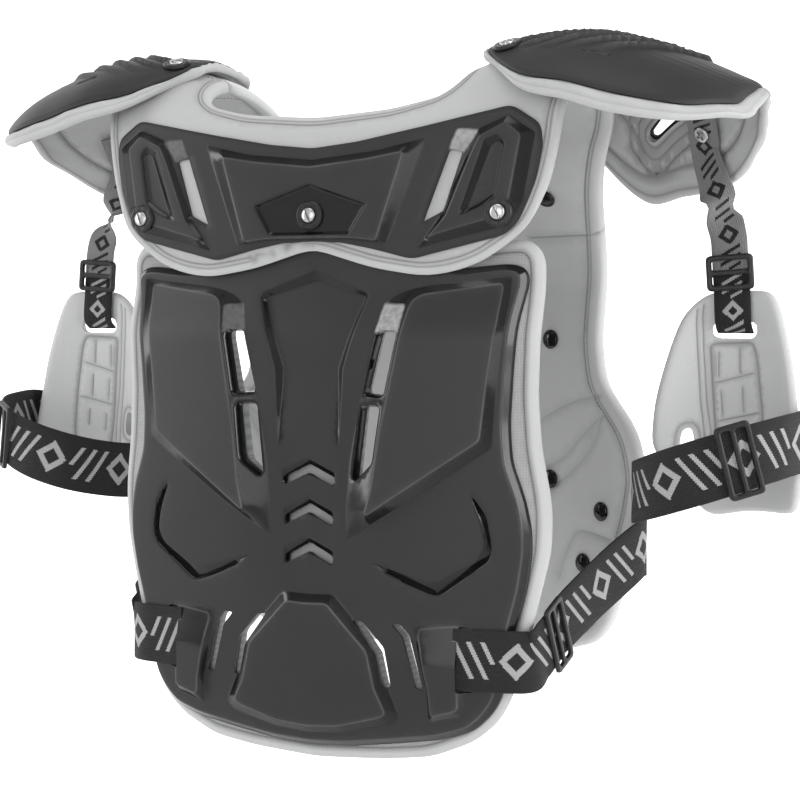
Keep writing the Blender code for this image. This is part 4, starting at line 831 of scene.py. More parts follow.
def stitch_row(line, outwards, pitch, length, radius):
    """Rows of sewn stitches: small bars with pointed ends, laid at an even pitch along a line in space."""
    gaps = np.linalg.norm(np.diff(line, axis=0), axis=1)
    run = np.concatenate([[0.0], np.cumsum(gaps)])
    at = np.arange(0.5 * pitch, run[-1], pitch)
    middle = np.stack([np.interp(at, run, line[:, axis]) for axis in range(3)], 1)
    ahead = np.stack([np.interp(at + 0.5, run, line[:, axis]) for axis in range(3)], 1)
    behind = np.stack([np.interp(at - 0.5, run, line[:, axis]) for axis in range(3)], 1)
    normal = unit(np.stack([np.interp(at, run, outwards[:, axis]) for axis in range(3)], 1))
    along = unit(ahead - behind)
    side = unit(np.cross(along, normal))
    turn = np.arange(5) * 2 * math.pi / 5
    ring = np.stack([np.cos(turn), np.sin(turn)], 1) * radius
    template = np.vstack([[(-0.5 * length, 0, 0)],
                          np.column_stack([np.full(5, -0.3 * length), ring]),
                          np.column_stack([np.full(5, 0.3 * length), ring]),
                          [(0.5 * length, 0, 0)]])
    points = (middle[:, None] + along[:, None] * template[:, :1] + side[:, None] * template[:, 1:2]
              + normal[:, None] * template[:, 2:])
    k = np.arange(5)
    after = (k + 1) % 5
    faces = np.vstack([np.stack([np.zeros(5, int), 1 + after, 1 + k], 1),
                       np.stack([1 + k, 1 + after, 6 + after], 1),
                       np.stack([1 + k, 6 + after, 6 + k], 1),
                       np.stack([np.full(5, 11), 6 + k, 6 + after], 1)])
    faces = outward(points[0], faces)
    every = faces[None] + (np.arange(len(at)) * len(template))[:, None, None]
    return points.reshape(-1, 3), every.reshape(-1, 3)


class Wire:
    """A number in a node tree: the usual signs join it to others through Math nodes."""

    def __init__(self, tree, socket):
        self.tree, self.socket = tree, socket

    def through(self, kind, *others):
        node = self.tree.nodes.new("ShaderNodeMath")
        node.operation = kind
        self.tree.links.new(self.socket, node.inputs[0])
        for slot, other in enumerate(others, 1):
            if isinstance(other, Wire):
                self.tree.links.new(other.socket, node.inputs[slot])
            else:
                node.inputs[slot].default_value = other
        return Wire(self.tree, node.outputs[0])

    def __add__(self, other):
        return self.through("ADD", other)

    def __sub__(self, other):
        return self.through("SUBTRACT", other)

    def __mul__(self, other):
        return self.through("MULTIPLY", other)

    def __abs__(self):
        return self.through("ABSOLUTE")

    def below(self, limit):
        return self.through("LESS_THAN", limit)

    def above(self, limit):
        return self.through("GREATER_THAN", limit)

    def repeat(self, pitch):
        """The rest after whole pitches, from 0 up to the pitch."""
        return self.through("FLOORED_MODULO", pitch)

    def steps(self, size):
        """The value in whole steps, as threads of a weave have it."""
        return self.through("SNAP", size)

    def wave(self, pitch):
        """A sine of the value with that pitch, from -1 to 1."""
        return (self * (2 * math.pi / pitch)).through("SINE")

    def larger(self, other):
        return self.through("MAXIMUM", other)


def new_material(name, roughness, metallic=0.0, specular=0.5):
    material = bpy.data.materials.new(name)
    material.use_nodes = True
    tree = material.node_tree
    shader = tree.nodes["Principled BSDF"]
    shader.inputs["Roughness"].default_value = roughness
    shader.inputs["Metallic"].default_value = metallic
    shader.inputs["Specular IOR Level"].default_value = specular
    return material, tree, shader


def surface_map(tree):
    """Across and along the surface, in metres, from the piece's own map."""
    node = tree.nodes.new("ShaderNodeUVMap")
    node.uv_map = "UVMap"
    parts = tree.nodes.new("ShaderNodeSeparateXYZ")
    tree.links.new(node.outputs["UV"], parts.inputs[0])
    return Wire(tree, parts.outputs["X"]), Wire(tree, parts.outputs["Y"])


def grain(tree, scale, detail=3.0):
    """A fine noise over the piece, scale counts to the metre."""
    place = tree.nodes.new("ShaderNodeTexCoord")
    noise = tree.nodes.new("ShaderNodeTexNoise")
    noise.inputs["Scale"].default_value = scale
    noise.inputs["Detail"].default_value = detail
    tree.links.new(place.outputs["Object"], noise.inputs["Vector"])
    return Wire(tree, noise.outputs["Fac"])


def marked(tree, name):
    node = tree.nodes.new("ShaderNodeAttribute")
    node.attribute_name = name
    return Wire(tree, node.outputs["Fac"])


def set_colour(tree, shader, share, first, second):
    """The base colour goes with the share from the first, a colour or an earlier mix, to the second."""
    mix = tree.nodes.new("ShaderNodeMix")
    mix.data_type = "RGBA"
    tree.links.new(share.socket, mix.inputs["Factor"])
    if isinstance(first, bpy.types.Node):
        tree.links.new(first.outputs["Result"], mix.inputs["A"])
    else:
        mix.inputs["A"].default_value = (*first, 1.0)
    mix.inputs["B"].default_value = (*second, 1.0)
    tree.links.new(mix.outputs["Result"], shader.inputs["Base Color"])
    return mix


def toned(colour, amount):
    return [amount * part for part in colour]


def set_bump(tree, shader, height, depth):
    """The height, from 0 to 1, raises the surface by up to the depth in metres."""
    bump = tree.nodes.new("ShaderNodeBump")
    bump.inputs["Strength"].default_value = 1.0
    bump.inputs["Distance"].default_value = depth
    tree.links.new(height.socket, bump.inputs["Height"])
    tree.links.new(bump.outputs["Normal"], shader.inputs["Normal"])


def moulded_plastic(name, colour, matte=0.46, polished=0.16, texture=0.00006):
    """Satin black plastic with a fine grain; its slopes are glossy and painted darker as shade, raised edges
    carry painted highlight lines, and a few facets a painted softbox reflection.
    """
    material, tree, shader = new_material(name, matte, specular=0.3)
    gloss_and_shade, painted_reflection, edge_highlight = marked(tree, "gloss_and_shade"), marked(tree, "painted_reflection"), marked(tree, "edge_highlight")
    fine, broad = grain(tree, 1500.0), grain(tree, 22.0)
    crushed = grain(tree, 260.0, 1.0)
    mix = set_colour(tree, shader, broad, toned(colour, 0.8), toned(colour, 1.25))
    # Painted shade: glossy slopes, walls, recesses and slits get a base colour far darker than the plastic's
    # own
    mix = set_colour(tree, shader, gloss_and_shade * 0.85, mix, toned(colour, 0.2))
    # Painted highlight: a lighter grey line along raised edges, broken up by the broad grain
    mix = set_colour(tree, shader, edge_highlight * (broad * 0.8), mix, EDGE_HIGHLIGHT_GREY)
    # Painted reflection: a silvery grey patch where a facet reflects a softbox
    set_colour(tree, shader, painted_reflection * (crushed * 0.7 + 0.35), mix, REFLECTION_GREY)
    rough = (gloss_and_shade * (polished - matte)) + matte
    rough = rough + (broad - 0.5) * 0.12
    tree.links.new(rough.socket, shader.inputs["Roughness"])
    height = fine * (gloss_and_shade * -0.9 + 1.0) + painted_reflection * crushed * 14.0
    set_bump(tree, shader, height, texture)
    return material


def lining_cloth(name, colour, weave=0.0011, depth=0.00012):
    """Smooth laminated cloth: a diagonal twill, darker in its seams, creases and pressed lines as painted
    shade, brighter on its binding.
    """
    material, tree, shader = new_material(name, 0.82, specular=0.25)
    shader.inputs["Sheen Weight"].default_value = 0.06
    shader.inputs["Sheen Roughness"].default_value = 0.5
    across, along = surface_map(tree)
    twill = (across + along).wave(weave) * 0.5 + 0.5
    cross = (across - along * 0.4).wave(1.3 * weave) * 0.5 + 0.5
    broad, binding, seam_and_shade = grain(tree, 14.0), marked(tree, "binding"), marked(tree, "seam_and_shade")
    # Painted shade: the seam mark darkens the colour in seams, creases and pressed lines
    shade = seam_and_shade * 0.75 + twill * cross * 0.1 + broad * 0.16
    mix = set_colour(tree, shader, shade, colour, toned(colour, 0.42))
    set_colour(tree, shader, binding * 0.35, mix, toned(colour, BINDING_TONE))
    set_bump(tree, shader, (twill * cross) + broad * 0.4, depth)
    return material


def spacer_cloth(name, colour, pitch=0.0021):
    """Open mesh cloth: small holes in a staggered grid, with the same painted seam shade and binding."""
    material, tree, shader = new_material(name, 0.85, specular=0.2)
    shader.inputs["Sheen Weight"].default_value = 0.05
    across, along = surface_map(tree)
    binding, seam_and_shade = marked(tree, "binding"), marked(tree, "seam_and_shade")
    holes = ((across + along).wave(pitch) * (across - along).wave(pitch)).above(0.35)
    holes = holes * (binding * -1.0 + 1.0)
    broad = grain(tree, 16.0)
    # Painted shade: the seam mark darkens the colour in the seams
    shade = holes * 0.5 + seam_and_shade * 0.7 + broad * 0.14
    mix = set_colour(tree, shader, shade, colour, toned(colour, 0.3))
    set_colour(tree, shader, binding * 0.35, mix, toned(colour, BINDING_TONE))
    set_bump(tree, shader, holes * -1.0 + 1.0, 0.0002)
    return material


def webbing(name, ground, thread, motif):
    """Woven elastic: ribs along the band, cross threads and a repeated geometric motif in a second thread."""
    material, tree, shader = new_material(name, 0.78, specular=0.3)
    shader.inputs["Sheen Weight"].default_value = 0.04
    across, along = surface_map(tree)
    mask = motif(across.steps(0.0009), along.steps(0.0009))
    rib = across.wave(0.0016) * 0.5 + 0.5
    cross = along.wave(0.0011) * 0.5 + 0.5
    fuzz = grain(tree, 900.0)
    shade = fuzz * 0.45 + cross * 0.25
    mix = set_colour(tree, shader, shade, ground, [1.7 * part + 0.003 for part in ground])
    set_colour(tree, shader, mask, mix, thread)
    set_bump(tree, shader, rib + cross * 0.7 + mask * 1.2 + fuzz * 0.5, 0.00025)
    return material


def slant_motif(height, pitch, stroke, lean):
    """Slanted bars in threes and one open lozenge to each pitch, between two edges."""
    def motif(across, along):
        leaning = (along + across * lean).repeat(pitch)
        bars = abs(leaning - 0.12 * pitch).below(0.5 * stroke)
        bars = bars.larger(abs(leaning - 0.30 * pitch).below(0.5 * stroke))
        bars = bars.larger(abs(leaning - 0.48 * pitch).below(0.5 * stroke) * across.above(-0.1 * height))
        plain = along.repeat(pitch)
        lozenge = abs(plain - 0.78 * pitch) * (0.9 / pitch * 5.0) + abs(across) * (1.9 / height)
        ring = lozenge.below(0.98) * lozenge.above(0.98 - 3.4 * stroke / height)
        return bars.larger(ring) * abs(across).below(0.5 * height)
    return motif


def bright_metal(name):
    material, tree, shader = new_material(name, 0.3, 1.0)
    brushed = grain(tree, 700.0)
    set_colour(tree, shader, brushed, (0.36, 0.36, 0.36), (0.5, 0.5, 0.5))
    set_bump(tree, shader, brushed, 0.00003)
    return material


def plain_thread(name, colour):
    material, tree, shader = new_material(name, 0.7, specular=0.3)
    fuzz = grain(tree, 1200.0)
    set_colour(tree, shader, fuzz, colour, toned(colour, 0.75))
    set_bump(tree, shader, fuzz, 0.0001)
    return material


def plate_points(shares):
    return spread(shares, PLATE_HALF_WIDTH, PLATE_TOP_Z, PLATE_HEIGHT)


def back_y(x, z):
    """Y of the lower plate's face: a bow down the middle, a square sag to the sides, a dive at the hem."""
    down = (PLATE_TOP_Z - z) / PLATE_HEIGHT
    bow = BACK_BOW * np.sin(math.pi * np.clip(down, 0.0, 1.0))
    sag = lerp(BACK_SAG_TOP, BACK_SAG_BOTTOM, down) * (x / SAG_SPAN) ** 2
    margin = MARGIN_CURVE * np.maximum(np.abs(x) - MARGIN_FROM, 0.0) ** 2
    dive = HEM_DIVE * smooth_step((z - HEM_DIVE_FROM_Z) / HEM_DIVE_LENGTH)
    return PLATE_FACE_Y - bow + sag + margin + dive


def back_place(at, depth):
    x, z = at.T
    return np.stack([x, back_y(x, z) + depth, z], 1)


PLATE_LOOP = softened(symmetric(plate_points(PLATE_OUTLINE)), 7.0)
RIM_LOOP = grown(PLATE_LOOP, -RIM_WIDTH)
VEE_LOOP = softened(symmetric(plate_points(VEE_EDGE)), 1.0)
VEE_FLOOR_LOOP = softened(symmetric(plate_points(VEE_BED)), 1.0)
HEX_LOOP = softened(symmetric(plate_points(HEX_OUTER)), 3.0)
HEX_TOP_LOOP = softened(symmetric(plate_points(HEX_TOP)), 3.0)
RIGHT_FIELD = softened(plate_points(FIELD_OUTER), 3.0)
RIGHT_ISLAND = softened(plate_points(FIELD_ISLAND), 3.0)
RIGHT_EYE = softened(plate_points(CRESCENT), 3.0)
RIGHT_VALLEY = smooth_curve(plate_points(CRESCENT_VALLEY), 3)
RIGHT_BLOCK = softened(plate_points(BLOCK_OUTER), 3.0)
RIGHT_BLOCK_TOP = softened(plate_points(BLOCK_TOP), 3.0)
COLLARED_VENTS = [softened(plate_points(vent), 2.5) for vent in LONG_VENTS]
PLAIN_VENTS = [softened(plate_points(vent), 1.2) for vent in (HEX_SIDE_VENT, LOWER_VENT)]
RIGHT_SLOT = softened([(SLOT_INNER * PLATE_HALF_WIDTH, WAIST_STRAP_Z - SLOT_HALF_HEIGHT),
                       (SLOT_OUTER * PLATE_HALF_WIDTH, WAIST_STRAP_Z - SLOT_HALF_HEIGHT),
                       (SLOT_OUTER * PLATE_HALF_WIDTH, WAIST_STRAP_Z + SLOT_HALF_HEIGHT),
                       (SLOT_INNER * PLATE_HALF_WIDTH, WAIST_STRAP_Z + SLOT_HALF_HEIGHT)], 1.5)
RIGHT_FACET = plate_points(GROOVE_FACET)


def chevron_loops(lowered=0.0):
    """Three bent bands, one under another, each with its point up; lowered brings their top edge down."""
    tops = CHEVRON_TOP_Z - CHEVRON_PITCH * np.arange(CHEVRON_COUNT)
    halves = [CHEVRON_HALF_WIDTH] + [CHEVRON_HALF_WIDTH_LOWER] * (CHEVRON_COUNT - 1)
    return [softened([(0.0, top - lowered), (half - 0.5 * lowered, top - lowered - CHEVRON_RISE),
                      (half - 0.5 * lowered, top - CHEVRON_RISE - CHEVRON_BAND), (0.0, top - CHEVRON_BAND),
                      (0.5 * lowered - half, top - CHEVRON_RISE - CHEVRON_BAND),
                      (0.5 * lowered - half, top - lowered - CHEVRON_RISE)], 0.8)
            for top, half in zip(tops, halves)]


CHEVRONS = chevron_loops()
CHEVRON_HOLES = chevron_loops(CHEVRON_LIP)


def island_depth(at):
    """The side panels stand higher towards the spine and towards the bottom, evenly between."""
    low, high = RIGHT_ISLAND.min(0), RIGHT_ISLAND.max(0)
    across, up = np.clip((at - low) / (high - low), 0.0, 1.0).T
    inner = lerp(ISLAND_RISE_INNER_BOTTOM, ISLAND_RISE_INNER_TOP, up)
    outer = lerp(ISLAND_RISE_OUTER_BOTTOM, ISLAND_RISE_OUTER_TOP, up)
    return -lerp(inner, outer, across)


def plate_relief(at):
    """Columns: depth towards the body, gloss with painted shade, painted softbox reflection and painted edge
    highlight of the lower plate.

    The depth is a sum of even ramps between pairs of loops; the gloss and painted shade lie on the ramps'
    slopes.
    """
    beside = folded(at)
    edge = 1.0 - line_distance(at, PLATE_LOOP, True, RIM_WIDTH) / RIM_WIDTH
    vee = ramp(at, VEE_LOOP, VEE_FLOOR_LOOP) * smooth_step((at[:, 1] - VEE_LOOP[:, 1].min()) / VEE_FADE)
    field = ramp(beside, RIGHT_FIELD, RIGHT_ISLAND)
    eye = ramp(beside, RIGHT_EYE, RIGHT_VALLEY, False)
    hexagon = ramp(at, HEX_LOOP, HEX_TOP_LOOP)
    block = ramp(beside, RIGHT_BLOCK, RIGHT_BLOCK_TOP)
    block = block * smooth_step((RIGHT_BLOCK[:, 1].max() - at[:, 1]) / BLOCK_FADE)
    depth = RIM_DROP * edge + VEE_DEPTH * vee + island_depth(beside) * field + EYE_DEPTH * eye
    depth -= HEX_RISE * hexagon + BLOCK_RISE * block
    # The ramps' slopes and the vee's far walls are glossy and painted darker as shade
    wall = slope_of(vee) * (1.0 * (beside[:, 0] > VEE_WALL_X) + (at[:, 1] > VEE_WALL_Z))
    gloss_and_shade = np.maximum.reduce([np.minimum(wall, 1.0), *map(slope_of, (edge, field, eye, hexagon, block))])
    for vent in COLLARED_VENTS:
        near = 1.0 - line_distance(beside, vent, True, VENT_COLLAR_WIDTH) / VENT_COLLAR_WIDTH
        depth += VENT_COLLAR_DROP * near
        gloss_and_shade = np.maximum(gloss_and_shade, slope_of(0.5 * near))
    for edge_loop, hole in zip(CHEVRONS, CHEVRON_HOLES):
        sunk = ramp(at, edge_loop, hole)
        depth += CHEVRON_SINK * sunk
        # The sunk chevron bands are glossy and painted dark as shade
        gloss_and_shade = np.maximum(gloss_and_shade, np.clip(12.0 * sunk, 0.0, 1.0))
    # Painted reflection of a softbox on the groove facets, weaker on the left
    painted_reflection = np.where(at[:, 0] > 0, 1.0, LEFT_REFLECTION) * inside(beside, RIGHT_FACET)
    # Painted highlight lines along the islands', block's, rim's and hexagon's raised edges
    edge_highlight = painted_edge_highlight(beside, [RIGHT_ISLAND, RIGHT_BLOCK_TOP]) * (vee < 0.01)
    edge_highlight = np.maximum(edge_highlight, painted_edge_highlight(at, [RIM_LOOP, HEX_TOP_LOOP]))
    return np.stack([depth, gloss_and_shade, painted_reflection, edge_highlight], 1)


def plate_finish(marks):
    _, *finish = marks.T
    return {title: twice(values) for title, values in zip(("gloss_and_shade", "painted_reflection", "edge_highlight"), finish)}


def build_lower_plate(plastic):
    holes = both_sides([*COLLARED_VENTS, *PLAIN_VENTS, RIGHT_SLOT]) + CHEVRON_HOLES
    collars = [grown(vent, VENT_COLLAR_WIDTH) for vent in both_sides(COLLARED_VENTS)]
    loops = [RIM_LOOP, VEE_LOOP, VEE_FLOOR_LOOP, HEX_LOOP, HEX_TOP_LOOP, *collars, *CHEVRONS]
    loops += both_sides([RIGHT_FIELD, RIGHT_ISLAND, RIGHT_EYE, RIGHT_BLOCK, RIGHT_BLOCK_TOP, RIGHT_FACET])
    net = at, _ = flat_net(PLATE_LOOP, LOWER_PLATE_CELL, loops, holes, both_sides([RIGHT_VALLEY]))
    marks = rounded(plate_relief, at, PLATE_CORNER)
    add_sheet("lower_plate", net, back_place(at, marks[:, 0]), back_place(at, marks[:, 0] + PLATE_THICKNESS),
              plastic, "back_plate", plate_finish(marks))


def seam_marks(distance, binding_width, seams):
    """Binding is 1 within its width from the edge; a seam is a bell curve at each of its distances, which the
    cloth also darkens as painted shade.
    """
    binding = smooth_step((binding_width - distance) / 1.0 + 0.5)
    seam_and_shade = sum(np.exp(-((distance - place) / SEAM_WIDTH) ** 2) for place in seams)
    return binding, np.clip(seam_and_shade, 0.0, 1.0)


def roll(distance, thickness, shape):
    """Depth of a rolled edge: a quarter circle over the width, down by a share of the thickness."""
    width, share = shape
    near = np.clip(distance / width, 0.0, 1.0)
    return share * thickness * (1.0 - np.sqrt(np.maximum(1.0 - (1.0 - near) ** 2, 0.0)))


def sew(name, thread, row, sizes):
    """The stitches of one pad as one piece; the row is a line in space and its outward directions."""
    points, faces = stitch_row(*row, sizes.stitch_pitch / MM, sizes.stitch_length / MM, STITCH_RADIUS)
    return add_piece(name, points, faces, thread)


def line_on(place, line, depth, closed=True):
    """A flat line lifted on to a surface, with the surface's outward direction at each place."""
    line = evenly(line, 2.0, closed)
    if closed:
        line = np.vstack([line, line[:1]])
    top = place(line, depth(line) - STITCH_LIFT)
    return top, unit(top - place(line, depth(line) + 1.0))


BACK_PAD_FACE = RIM_DROP + PLATE_THICKNESS + BACK_PAD_CLEARANCE
BACK_PAD_SPREAD = spread(BACK_PAD_OUTLINE, BACK_PAD_HALF_WIDTH, BACK_PAD_TOP_Z, BACK_PAD_HEIGHT)
BACK_PAD_LOOP = softened(symmetric(BACK_PAD_SPREAD), 9.0)


def back_pad_depth(at):
    distance = line_distance(at, BACK_PAD_LOOP, True, EDGE_REACH)
    _, seam_and_shade = seam_marks(distance, BINDING_WIDTH, (BACK_SEAM,))
    return BACK_PAD_FACE + roll(distance, BACK_PAD_THICKNESS, BACK_ROLL) + SEAM_DEPTH * seam_and_shade - MARGIN_PUFF * (
        smooth_step(distance / BACK_SEAM) * smooth_step((18.0 - distance) / 6.0))


def build_lower_pad(cloth, thread, sizes):
    vents = both_sides([*COLLARED_VENTS, *PLAIN_VENTS])
    holes = [grown(vent, VENT_PAD_MARGIN) for vent in vents]
    guides = [grown(BACK_PAD_LOOP, -inset) for inset in (1.2, 3.4, BACK_SEAM)]
    net = at, _ = flat_net(BACK_PAD_LOOP, LOWER_PAD_CELL, guides, holes)
    distance = line_distance(at, BACK_PAD_LOOP, True, EDGE_REACH)
    rear = BACK_PAD_FACE + BACK_PAD_THICKNESS - roll(distance, BACK_PAD_THICKNESS, BACK_ROLL)
    add_pad("lower_pad", net, back_place(at, back_pad_depth(at)), back_place(at, rear), cloth, "back_pad",
            "back_pad", *seam_marks(distance, BINDING_WIDTH, (BACK_SEAM,)), fill=0.8)
    row = line_on(back_place, grown(BACK_PAD_LOOP, -BACK_SEAM - 0.6), back_pad_depth)
    sew("lower_pad_stitches", thread, row, sizes)


def yoke_points(shares):
    return spread(shares, YOKE_HALF_WIDTH, YOKE_TOP_Z, YOKE_HEIGHT)


YOKE_FOOT_Y = YOKE_FACE_Y + YOKE_LEAN + YOKE_THICKNESS + GAP
ARCH_RUN = math.pi / 4 * (ARCH_FRONT_Y - YOKE_FOOT_Y) / 2 + math.pi / 4 * ARCH_HEIGHT


def yoke_y(x, z):
    """Y of the upper plate's face: it leans forward to the top and sags as the square of x."""
    down = np.clip((ARCH_FOOT_Z - z) / YOKE_HEIGHT, 0.0, 1.0)
    return YOKE_FACE_Y + YOKE_LEAN * (1.0 - down) + YOKE_SAG * (x / SAG_SPAN) ** 2


def yoke_place(at, depth):
    x, z = at.T
    return np.stack([x, yoke_y(x, z) + depth, z], 1)


def arch(x, angle, depth):
    """The outer face of the shoulder padding: an ellipse from its foot on the back to the front."""
    middle = (YOKE_FOOT_Y + ARCH_FRONT_Y) / 2
    half = (ARCH_FRONT_Y - YOKE_FOOT_Y) / 2 - depth
    side = np.minimum(np.abs(np.abs(x) - SHOULDER_MIDDLE_X) / SHOULDER_HALF_WIDTH, 1.3)
    rise = np.sin(angle)
    sag = YOKE_SAG * (x / SAG_SPAN) ** 2 * np.maximum(np.cos(angle), 0.0)
    return np.stack([x, middle - half * np.cos(angle) + sag,
                     ARCH_FOOT_Z + (ARCH_HEIGHT - depth) * rise - SHOULDER_DROP * side ** 2 * rise ** 2], 1)


def yoke_pad_place(at, depth):
    """Below run 0 the pad follows the upper plate straight down, above it the arch."""
    x, run = at.T
    over = arch(x, 0.5 * math.pi * np.maximum(run, 0.0) / ARCH_RUN, depth)
    z = ARCH_FOOT_Z + run
    flat = np.stack([x, yoke_y(x, z) + YOKE_THICKNESS + GAP + depth, z], 1)
    return np.where((run > 0)[:, None], over, flat)


YOKE_LOOP = softened(symmetric(yoke_points(YOKE_OUTLINE)), 5.0)
YOKE_PANEL = softened(symmetric(yoke_points(PANEL_OUTER)), 2.0)
YOKE_PANEL_TOP = softened(symmetric(yoke_points(PANEL_TOP)), 2.0)
YOKE_PENTAGON = softened(symmetric(yoke_points(PENTAGON)), 1.0)
YOKE_PENTAGON_FLOOR = grown(YOKE_PENTAGON, -2.4)
YOKE_UNIT = softened(yoke_points(SIDE_UNIT), 1.5)
YOKE_UNIT_TOP = softened(yoke_points(SIDE_UNIT_TOP), 1.5)
YOKE_PILL = softened(yoke_points(SIDE_PILL), 1.5)
YOKE_PILL_FLOOR = softened(yoke_points(SIDE_PILL_FLOOR), 1.0)
YOKE_SIDE_VENT = softened(yoke_points(SIDE_VENT), 1.2)
YOKE_FACET_LOOP = yoke_points(YOKE_FACET)


def yoke_relief(at):
    """The same columns for the upper plate, from ramps between pairs of loops."""
    beside = folded(at)
    panel = ramp(at, YOKE_PANEL, YOKE_PANEL_TOP)
    unit_share = ramp(beside, YOKE_UNIT, YOKE_UNIT_TOP)
    pill = ramp(beside, YOKE_PILL, YOKE_PILL_FLOOR)
    pentagon = ramp(at, YOKE_PENTAGON, YOKE_PENTAGON_FLOOR)
    edge = 1.0 - line_distance(at, YOKE_LOOP, True, YOKE_EDGE_WIDTH) / YOKE_EDGE_WIDTH
    near = 1.0 - line_distance(beside, YOKE_SIDE_VENT, True, VENT_COLLAR_WIDTH) / VENT_COLLAR_WIDTH
    depth = PILL_DEPTH * (pill + pentagon) - PANEL_RISE * panel - UNIT_RISE * unit_share
    depth += YOKE_EDGE_DROP * edge ** 2 + 1.5 * near
    gloss_and_shade = np.maximum.reduce([slope_of(share) for share in (panel, unit_share, pill, pentagon)])
    # The pentagon's recessed floor is glossy and painted dark as shade
    gloss_and_shade = np.maximum(gloss_and_shade, 0.8 * (pentagon > 0.5))
    # Painted reflection of a softbox on the side facets, weaker on the left
    painted_reflection = np.where(at[:, 0] > 0, 1.0, LEFT_REFLECTION) * inside(beside, YOKE_FACET_LOOP)
    # Painted highlight lines along the raised panels' edges
    edge_highlight = painted_edge_highlight(beside, [YOKE_UNIT_TOP]) * 0.6 + painted_edge_highlight(at, [YOKE_PANEL_TOP])
    return np.stack([depth, gloss_and_shade, painted_reflection, edge_highlight], 1)


def build_upper_plate(plastic):
    loops = [YOKE_PANEL, YOKE_PANEL_TOP, YOKE_PENTAGON, YOKE_PENTAGON_FLOOR]
    loops.append(grown(YOKE_LOOP, -YOKE_EDGE_WIDTH))
    loops += both_sides([YOKE_UNIT, YOKE_UNIT_TOP, YOKE_PILL, YOKE_PILL_FLOOR, YOKE_FACET_LOOP])
    net = at, _ = flat_net(YOKE_LOOP, UPPER_PLATE_CELL, loops, both_sides([YOKE_SIDE_VENT]), step=1.9)
    marks = rounded(yoke_relief, at, PLATE_CORNER)
    add_sheet("upper_plate", net, yoke_place(at, marks[:, 0]), yoke_place(at, marks[:, 0] + YOKE_THICKNESS),
              plastic, "yoke_plate", plate_finish(marks))


def yoke_pad_outline():
    shares = np.array(UPPER_PAD_OUTLINE, float)
    straight = ARCH_FOOT_Z - YOKE_PAD_BOTTOM_Z
    run = np.where(shares[:, 1] < 0, shares[:, 1] * straight, shares[:, 1] * ARCH_RUN / 0.94)
    loop = softened(symmetric(np.stack([shares[:, 0] * YOKE_PAD_HALF_WIDTH, run], 1)), 12.0)
    return np.stack([loop[:, 0], np.minimum(loop[:, 1], ARCH_RUN - GAP / 2)], 1)


YOKE_PAD_LOOP = yoke_pad_outline()
YOKE_FREE_EDGE = YOKE_PAD_LOOP + (YOKE_PAD_LOOP[:, 1:] > ARCH_RUN - 1.0) * np.array((0.0, 40.0))


def yoke_pad_thickness(run):
    up = run + (ARCH_FOOT_Z - YOKE_PAD_BOTTOM_Z) - HEM_HEIGHT
    return lerp(HEM_THICKNESS, SHOULDER_THICKNESS, smooth_step(up / HEM_HEIGHT))


def yoke_pad_marks(at):
    """Distance to the pad's free edge, and its binding and seams; the shoulder end has neither."""
    distance = line_distance(at, YOKE_FREE_EDGE, True, EDGE_REACH)
    return (distance, *seam_marks(distance, YOKE_BINDING, (YOKE_BINDING, YOKE_SEAM)))


def yoke_pad_depth(at):
    distance, _, seam_and_shade = yoke_pad_marks(at)
    thick = yoke_pad_thickness(at[:, 1])
    swell = YOKE_PUFF * smooth_step((at[:, 1] + 10.0) / 30.0) * smooth_step((distance - 9.0) / 14.0)
    return roll(distance, thick, YOKE_ROLL) + SEAM_DEPTH * seam_and_shade - swell


def build_upper_pad(cloth, thread, sizes):
    guides = [grown(YOKE_PAD_LOOP, -inset) for inset in (1.0, 3.0, YOKE_BINDING, YOKE_SEAM)]
    net = at, _ = flat_net(YOKE_PAD_LOOP, UPPER_PAD_CELL, [YOKE_LOOP - (0.0, ARCH_FOOT_Z)], (),
                           [line[2:-2] for line in guides])
    distance, binding, seam_and_shade = yoke_pad_marks(at)
    thick = yoke_pad_thickness(at[:, 1])
    rear = thick - roll(distance, thick, YOKE_ROLL)
    add_pad("upper_pad", net, yoke_pad_place(at, yoke_pad_depth(at)), yoke_pad_place(at, rear), cloth,
            "yoke_pad", "yoke_pad", binding, seam_and_shade)
    line = grown(YOKE_PAD_LOOP, -YOKE_SEAM)
    line = line[line[:, 1] < ARCH_RUN - 14.0]
    row = line_on(yoke_pad_place, np.roll(line, -len(line) // 2, 0), yoke_pad_depth, False)
    sew("upper_pad_stitches", thread, row, sizes)


def chest_y(x, z):
    """Y of the chest padding's inner face: a square sag to the sides, blended in below the shoulder."""
    sag = CHEST_SAG * (x / CHEST_HALF_WIDTH) ** 2
    blend = smooth_step((ARCH_FOOT_Z - z) / CHEST_BLEND)
    return lerp(ARCH_FRONT_Y - SHOULDER_THICKNESS, CHEST_Y - sag, blend)


def chest_run(share):
    """Distance along the front from the crest: shares up to 1 lie on the arch, up to 2 on the chest."""
    share = np.asarray(share, float)
    return np.where(share <= 1.0, share * ARCH_RUN,
                    ARCH_RUN + (share - 1.0) * (ARCH_FOOT_Z - CHEST_BOTTOM_Z))


def chest_points(shares):
    shares = np.array(shares, float)
    return np.stack([shares[:, 0] * CHEST_HALF_WIDTH, chest_run(shares[:, 1])], 1)


def chest_face(x, run):
    z = ARCH_FOOT_Z - (run - ARCH_RUN)
    return np.stack([x, chest_y(x, z), z], 1)


